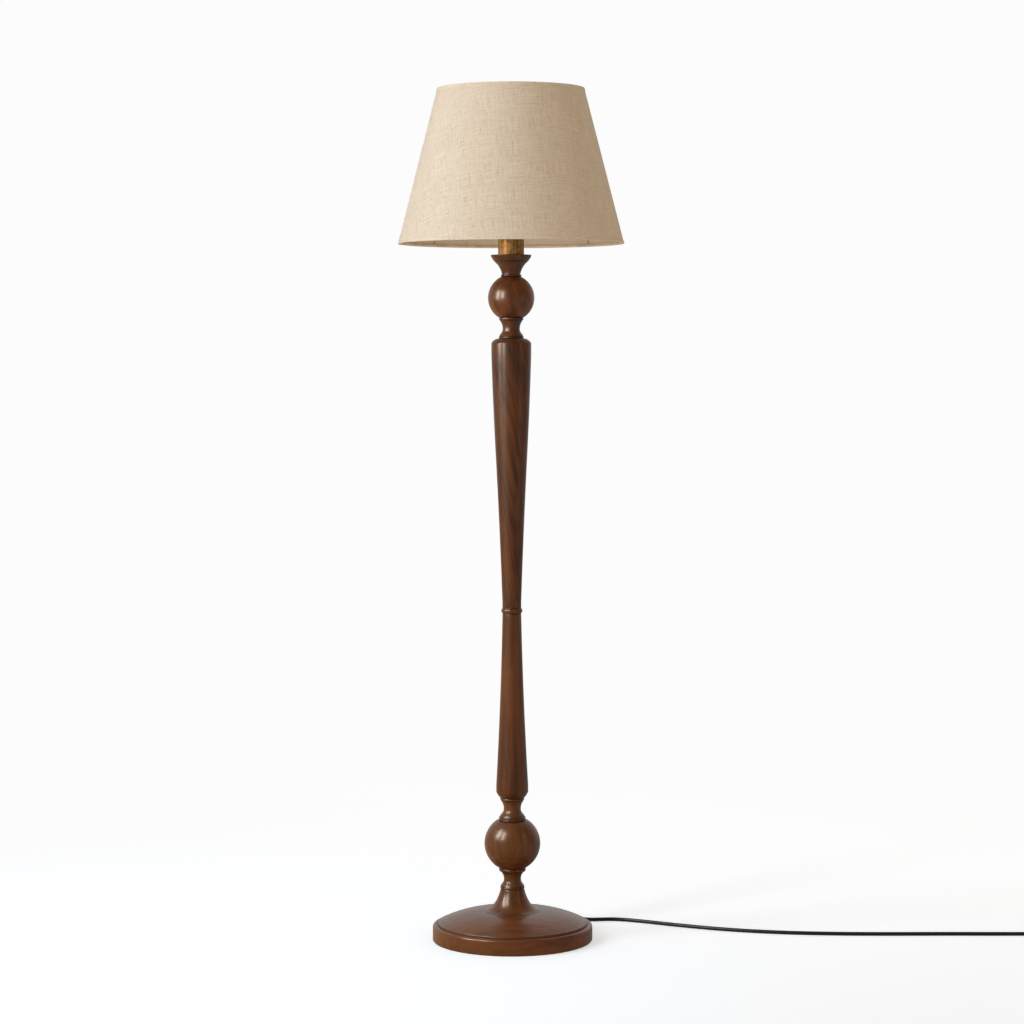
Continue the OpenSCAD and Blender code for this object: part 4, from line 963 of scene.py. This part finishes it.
def drillExit(piece, s):
    # the hole in the rim for the bush
    r, length = s.drillRadius, s.drillLength
    outline = [(0.0, 0.0), (r, 0.0), (r, length), (0.0, length)]
    drill = turnPiece("exitDrill", outline, walnuts["base"], segments=32, soften=0)
    layAtExit(drill, s.drillFrom * mm)
    cut = piece.modifiers.new("exitHole", "BOOLEAN")
    cut.object = drill
    cut.operation = "DIFFERENCE"
    cut.solver = "EXACT"
    bpy.context.view_layer.update()
    makePlain(piece)
    bpy.data.objects.remove(drill)


def turnWood(name, loop, blank, s, node):
    segments = s.get("segments", woodSettings.segments)
    piece = turnPiece(name, loop, walnuts[blank], segments, s.seat)
    if node == "base_disc":
        drillExit(piece, s)
    addPiece(piece, "stand", "walnut", node)


turnWood("baseTurned", baseLoop(baseSettings), "base", baseSettings, "base_disc")
for node, settings in turnings.items():
    first, second = node.split("_")
    turnWood(first + second.title() + "Turned", stemLoop(settings), settings.blank, settings, node)
turnWood("jointRingTurned", ringLoop(ringSettings), "ring", ringSettings, "joint_ring")
turnWood("dripCupTurned", cupLoop(cupSettings), "cup", cupSettings, "drip_cup")
print("woodwork turned")


# the shade: linen on a lining, with edge tapes, in millimetres
shadeSettings = Settings(
    bottom=200.0, top=130.0, height=272.0, floor=1240.5, coverIn=0.6, linen=0.5,
    lining=0.62, glue=0.04, tape=0.5, tapeWidth=5.0, around=288, rows=56,
    seamAngle=114.0, lap=9.0, lapRise=0.5, lapEase=5.0, waves=9, wavePhase=1.3,
    waveHeight=0.132,
)
shadeSlope = (shadeSettings.bottom - shadeSettings.top) / shadeSettings.height
shadeLean = math.atan(shadeSlope)


def shadeRadius(h):
    s = shadeSettings
    return s.bottom + (s.top - s.bottom) * h / s.height


def flatCloth(angle, h):
    # where a point of the cone lies on the flat cut, in metres
    rho, phi = shadeRadius(h) / math.sin(shadeLean), angle * math.sin(shadeLean)
    return rho * math.sin(phi) * mm, -rho * math.cos(phi) * mm


def makeConeSheet(name, out, thick, low, high, finish, lap=0.0, rise=0.0):
    # one closed sheet that starts at the seam, goes round the cone and ends over its start by the lap
    s = shadeSettings
    meanRadius = (s.bottom + s.top) / 2
    ease = s.lapEase / meanRadius
    span = 2 * math.pi + lap / meanRadius
    lapStart = span - lap / meanRadius - ease
    count, rows = s.around, s.rows
    points, uvs = [], []
    for face in (0, 1):
        for i in range(count + 1):
            turned = span * i / count
            past = max(0.0, min(1.0, (turned - lapStart) / ease))
            lift = rise * (3 * past * past - 2 * past ** 3)
            angle = math.radians(s.seamAngle) + turned
            wave = s.waveHeight * math.sin(s.waves * turned + s.wavePhase)
            for j in range(rows + 1):
                h = low + (high - low) * j / rows
                r = shadeRadius(h) - out - face * thick + lift + wave * math.sin(math.pi * j / rows)
                points.append((r * mm * math.cos(angle), r * mm * math.sin(angle), (s.floor + h) * mm))
                uvs.append(flatCloth(turned - math.pi, h))
    wide, half = rows + 1, (count + 1) * (rows + 1)
    faces = []
    for i in range(count):
        for j in range(rows):
            a, b = i * wide + j, (i + 1) * wide + j
            faces += [(a, b, b + 1, a + 1), (half + a + 1, half + b + 1, half + b, half + a)]
        a, b = i * wide, (i + 1) * wide
        faces += [(a, half + a, half + b, b), (b + rows, half + b + rows, half + a + rows, a + rows)]
    for j in range(rows):
        a, b = j, count * wide + j
        faces += [(a, a + 1, half + a + 1, half + a), (b, half + b, half + b + 1, b + 1)]
    piece = newPiece(name, points, faces)
    addUv(piece, "flatCloth", [uvs[loop.vertex_index] for loop in piece.data.loops])
    faceOutwards(piece.data)
    edges = piece.data.attributes.new("sharp_edge", "BOOLEAN", "EDGE")
    rim = {i * wide + j + face * half for face in (0, 1) for i in range(count + 1) for j in (0, rows)}
    edges.data.foreach_set("value", [set(edge.vertices) <= rim for edge in piece.data.edges])
    piece.data.materials.append(finish)
    return piece


# how far the tape's folded edge stands in from its outer face, and how far from the edge
tapeFold = [(0.0, 0.35), (0.25, 0.04), (0.6, 0.0)]
tapeSettings = Settings(deep=1.2, innerEdge=0.3, innerDown=0.2, lipShort=0.08, lipStep=(0.02, 0.1))


def makeTape(name, edge, away):
    # a strip folded over the edge: a long leg outside, a short one inside
    s, fold = shadeSettings, tapeSettings
    thick, inner = s.tape, s.coverIn + fold.deep
    sign = 1 if away > edge else -1
    lip = edge + sign * (thick - fold.lipShort)
    stepIn, stepUp = fold.lipStep
    line = [(0.0, away)] + [(out, edge + sign * up) for out, up in tapeFold]
    line += [(inner - fold.innerEdge, edge), (inner, edge + sign * fold.innerDown), (inner, lip)]
    line += [(thick + stepIn, lip), (thick, lip + sign * stepUp), (thick, away)]
    loop = [(shadeRadius(h) - out, h) for out, h in line]
    piece = turnPiece(name, loop, tapeLinen, segments=224, z=s.floor, soften=0.12)
    uvs = []
    for face in piece.data.polygons:
        spots = [piece.data.vertices[v].co for v in face.vertices]
        angles = [math.atan2(co.y, co.x) for co in spots]
        wraps = max(angles) - min(angles) > math.pi
        for co, angle in zip(spots, angles):
            angle += 2 * math.pi if wraps and angle < 0 else 0
            uvs.append((angle * shadeRadius(away) * mm, co.z + math.hypot(co.x, co.y)))
    addUv(piece, "flatTape", uvs)
    return piece


def makeShade(s):
    low, high = s.tape, s.height - s.tape
    cover = makeConeSheet("shadeLinen", s.coverIn, s.linen, low, high, linen, s.lap, s.lapRise)
    inside = makeConeSheet(
        "shadeLining", s.coverIn + s.linen + s.glue, s.lining, low, high, lining)
    tapes = [makeTape("tapeBottom", 0.0, s.tapeWidth),
             makeTape("tapeTop", s.height, s.height - s.tapeWidth)]
    addPiece(cover, "shade", "linen", "shade_cover")
    addPiece(inside, "shade", "linen")
    for tape, node in zip(tapes, ("trim_bottom", "trim_top")):
        addPiece(tape, "shade", "edge_tape", node)


makeShade(shadeSettings)


feltSettings = Settings(radius=141.6, thick=1.0, edge=0.3, segments=160)


def makeFeltPad(s):
    r, t, edge = s.radius, s.thick, s.radius - s.edge
    loop = [(0.0, 0.0), (edge, 0.0)] + bow((edge, 0.0), (edge, t), s.edge, 6) + [(0.0, t)]
    pad = turnPiece("feltPad", loop, felt, s.segments, crease=0.9, soften=0)
    addPiece(pad, "stand", "felt", "base_felt")


# flange points are (radius, distance past the wood's edge), rib points (change of radius, distance)
bootSettings = Settings(
    bore=3.6, bush=6.0, inWood=16.0, end=40.0, neck=4.5,
    flange=[(6.0, 0.2), (8.5, 0.2), (8.5, 2.0), (8.1, 2.4), (6.6, 2.4)],
    ribs=5, firstRib=3.2, ribStep=3.9, ribRadius=6.5, ribTaper=0.40,
    rib=[(0.0, 0.0), (-0.1, 2.2), (-1.05, 2.5), (-1.1, 3.5)],
)


def makeBoot(s):
    # bush and flange in the wood, then a ribbed taper round the flex
    bore, start = s.bore, s.inWood
    loop = [(bore, 0.0), (s.bush, 0.0)] + [(r, start + z) for r, z in s.flange]
    for k in range(s.ribs):
        r, z = s.ribRadius - s.ribTaper * k, start + s.firstRib + k * s.ribStep
        loop += [(r + out, z + up) for out, up in s.rib]
    loop += [(s.neck, s.end), (bore, s.end)]
    boot = turnPiece("exitBoot", loop, rubber, segments=40, soften=0.25)
    layAtExit(boot, (flexSettings.rimRadius - start) * mm)
    return addPiece(boot, "stand", "black_plastic", "cord_bush")


# corners of the band's inside as (distance from the coil's axis, height)
strapSettings = Settings(
    near=(27.9, 0.0), far=(46.2, 15.4), thick=0.8, round=2.5, width=10.0, edge=0.4,
    thinEdge=0.5, cornerSteps=6,
)


def makeStrap(s):
    # a webbing band round the turns, on the coil's side towards the lamp
    t, r, half = s.thick, s.round, s.width / 2
    left, right = r - s.far[0], -s.near[0] - r
    low, high = s.near[1] + r, s.far[1] - r
    corners = [(right, high), (left, high), (left, low), (right, low)]
    inner, outer = ([Vector(p) for k, corner in enumerate(corners)
                     for p in arc(corner, radius, k * math.pi / 2, math.pi / 2, s.cornerSteps)]
                    for radius in (r, r + t))
    across = [(-half, s.thinEdge), (s.edge - half, 1.0), (half - s.edge, 1.0), (half, s.thinEdge)]
    points, faces, uvs = [], [], []
    count, lap, run = len(inner), 2 * len(across), 0.0
    for i in range(count + 1):
        inn, out = inner[i % count], outer[i % count]
        if i:
            run += (out - outer[i - 1]).length
        middle = (inn + out) / 2
        for y, pinch in across:
            for p in (middle + (inn - middle) * pinch, middle + (out - middle) * pinch):
                points.append((p.x, y, p.y + t))
                uvs.append((run * mm, y * mm))
    for i in range(count):
        a, b = i * lap, (i + 1) * lap
        for k in range(0, lap - 2, 2):
            faces += [(a + k, b + k, b + k + 2, a + k + 2), (a + k + 1, a + k + 3, b + k + 3, b + k + 1)]
        faces += [(a, a + 1, b + 1, b), (a + lap - 2, b + lap - 2, b + lap - 1, a + lap - 1)]
    piece = newPiece("coilStrap", points, faces)
    addUv(piece, "strapRun", [uvs[loop.vertex_index] for loop in piece.data.loops])
    editMesh(
        piece.data, lambda b: bmesh.ops.remove_doubles(b, verts=b.verts, dist=1e-5),
        lambda b: bmesh.ops.recalc_face_normals(b, faces=b.faces))
    piece.data.transform(Matrix.Translation((coilCentre[0], coilCentre[1], 0)) @ Matrix.Scale(mm, 4))
    faceOutwards(piece.data)
    piece.data.materials.append(strapWeb)
    return addPiece(piece, "stand", "strap", "coil_tie")


makeFeltPad(feltSettings)
boot = makeBoot(bootSettings)
strap = makeStrap(strapSettings)
flex.data.materials.append(flexSheath)
addPiece(flex, "stand", "flex", "cord_lead", "cord_coil")
print("flex, boot, strap and felt in place")


# the bulb's glass, smooth in place of the solid's bands
bulbSettings = Settings(
    globe=30.0, wall=0.8, neck=12.6, foot=1287.5, neckTop=1292.5, middle=1342.0,
    meet=-50.0, neckBow=-1.6, segments=72,
)


def globeOutline(s, inset):
    radius, start = s.globe - inset, math.radians(s.meet)
    neck = [(s.neck - inset, s.foot), (s.neck - inset, s.neckTop)]
    globe = arc((0.0, s.middle), radius, start, math.pi / 2 - start, 40)
    return neck + bow(neck[1], globe[0], s.neckBow, 12) + globe[1:]


def makeGlobe(s):
    outline = globeOutline(s, 0.0) + globeOutline(s, s.wall)[::-1]
    globe = turnPiece("bulbGlobe", outline, opalGlass, s.segments, crease=0.9, soften=0)
    addPiece(globe, "bulb", "opal_glass", "bulb_glass")


makeGlobe(bulbSettings)
print("bulb blown")


# finishes on the CAD nodes that stay
finishes = {
    "steel": steel, "iron": iron, "black_plastic": blackPlastic, "flex": rubber, "brass": innerBrass,
    "core_insulation": coreSleeve, "ceramic": ceramic, "cap_metal": capMetal, "opal_glass": opalGlass,
    "clear_glass": stemGlass, "filament": phosphor, "walnut": walnuts["pedestal"], "felt": felt,
    "linen": linen, "edge_tape": tapeLinen, "strap": strapWeb,
}
special = {
    "brass_sleeve": brass, "switch_key": brass, "inner_lead": flexSheath, "shade_fitter": framePaint,
    "shade_top_ring": framePaint,
}
for part in frame["record"]["subparts"]:
    node = nodes[part["node"]]
    node.data.materials.clear()
    node.data.materials.append(special.get(part["node"], finishes[part["material_slot"]]))
    node.data.polygons.foreach_set("material_index", [0] * len(node.data.polygons))
print("CAD nodes dressed")


# floor, world and lights
studioSettings = Settings(
    paper=0.975, white=(1, 1, 1), fillTint=(1.0, 0.84, 0.675), fill=(0.70, 0.28),
    fillRise=(0.0, 0.9), worldShine=(0.035, 0.72), shineBack=(-0.1, 0.75),
    floorSize=14.0, floorAlbedo=(0.92, 0.955, 0.985), floorFill=0.62, fade=(0.8, 2.0),
    awayFromLights=(0.6, 0.8, 0.0), glowReach=(-1.2, 1.2), glow=(0.335, 0.575),
    glowTint=(0.965, 1.004, 1.055), leftShine=(0.72, 0.46, 0.29), leftReach=(0.0, -0.20),
    middleShine=(0.13, 0.12, 0.11), rightShine=(0.20, 0.33, 0.35), rightReach=(0.05, 0.4),
)


def emission(colour, strength):
    return put("ShaderNodeEmission", {"Color": colour, "Strength": strength})[0]


def background(colour, strength):
    return put("ShaderNodeBackground", {"Color": colour, "Strength": strength})[0]


def mixShaders(amount, first, second):
    return put("ShaderNodeMixShader", {0: amount, 1: first, 2: second})[0]


def splitByRay(mirrored, fill, seen, output):
    # one look for reflections, one for soft light and one for the camera
    rays = put("ShaderNodeLightPath")
    unseen = mixShaders(rays["Is Diffuse Ray"], mirrored, fill)
    put(output, {0: mixShaders(rays["Is Camera Ray"], unseen, seen)})


def emptyTree(owner):
    owner.use_nodes = True
    work["tree"] = owner.node_tree
    work.tree.nodes.clear()


def makeFloor(s):
    mesh = bpy.data.meshes.new("studioFloor")
    editMesh(mesh, lambda b: bmesh.ops.create_circle(b, cap_ends=True, segments=96, radius=s.floorSize))
    floor = newObject("studioFloor", mesh)
    material = bpy.data.materials.new("paperFloor")
    emptyTree(material)
    coords = put("ShaderNodeTexCoord")["Object"]
    away = put("ShaderNodeVectorMath", {0: coords}, operation="LENGTH")["Value"]
    across = put("ShaderNodeVectorMath", {0: coords, 1: s.awayFromLights}, operation="DOT_PRODUCT")
    glow = emission(s.glowTint, remap(across["Value"], *s.glowReach, *s.glow))
    matt = put("ShaderNodeBsdfDiffuse", {"Color": s.floorAlbedo})[0]
    near = put("ShaderNodeAddShader", {0: glow, 1: matt})[0]
    distant = emission(s.white, s.paper)
    seen = mixShaders(remap(away, *s.fade), near, distant)
    side = axesOf(coords)[0]
    shine = mixColours(remap(side, *s.rightReach), s.middleShine, s.rightShine)
    shine = mixColours(remap(side, *s.leftReach), shine, s.leftShine)
    fill = emission(s.fillTint, s.floorFill)
    splitByRay(emission(shine, 1.0), fill, seen, "ShaderNodeOutputMaterial")
    mesh.materials.append(material)


def makeWorld(s):
    # white behind the lamp, a dim room on the viewer's side, and a warm even fill
    scene.world = bpy.data.worlds.new("studioWorld")
    emptyTree(scene.world)
    way = axesOf(put("ShaderNodeTexCoord")["Generated"])
    mirrored = background(s.white, remap(way[1], *s.shineBack, *s.worldShine))
    fill = background(s.fillTint, remap(way[2], *s.fillRise, *s.fill))
    seen = background(s.white, s.paper)
    splitByRay(mirrored, fill, seen, "ShaderNodeOutputWorld")


# azimuth runs from the viewer's side towards the left; the windows give the soft light and the glints
# only the highlights
window = Settings(
    distance=2.1, height=1.65, aim=0.95, tall=1.5, tint=(0.79, 0.90, 1.04), hidden="visible_glossy")
glint = Settings(
    distance=2.12, height=1.65, aim=0.95, tall=1.4, tint=(1.0, 0.91, 0.79), hidden="visible_diffuse")
lightSettings = {
    "windowFar": Settings(window, azimuth=71, width=0.62, power=17.5),
    "windowNear": Settings(window, azimuth=44, width=0.42, power=16.0),
    "glintFar": Settings(glint, azimuth=71, width=0.62, power=64.0),
    "glintNear": Settings(glint, azimuth=44, width=0.42, power=48.0),
    "glintSide": Settings(
        glint, azimuth=-58, distance=2.6, height=1.3, aim=0.9, width=0.8, tall=1.8, power=3.2,
        tint=(0.96, 0.95, 0.90)),
}


def makeLight(name, s):
    data = bpy.data.lights.new(name, "AREA")
    data.shape = "RECTANGLE"
    data.size = s.width
    data.size_y = s.tall
    data.energy = s.power
    data.color = s.tint
    light = newObject(name, data)
    a = math.radians(s.azimuth)
    place = Vector((-s.distance * math.sin(a), -s.distance * math.cos(a), s.height))
    light.location = place
    light.rotation_mode = "QUATERNION"
    light.rotation_quaternion = (Vector((0, 0, s.aim)) - place).to_track_quat("-Z", "Y")
    setattr(light, s.hidden, False)


makeFloor(studioSettings)
makeWorld(studioSettings)
for name, settings in lightSettings.items():
    makeLight(name, settings)
scene.view_settings.view_transform = "Standard"
scene.view_settings.look = "None"
print("studio lit")
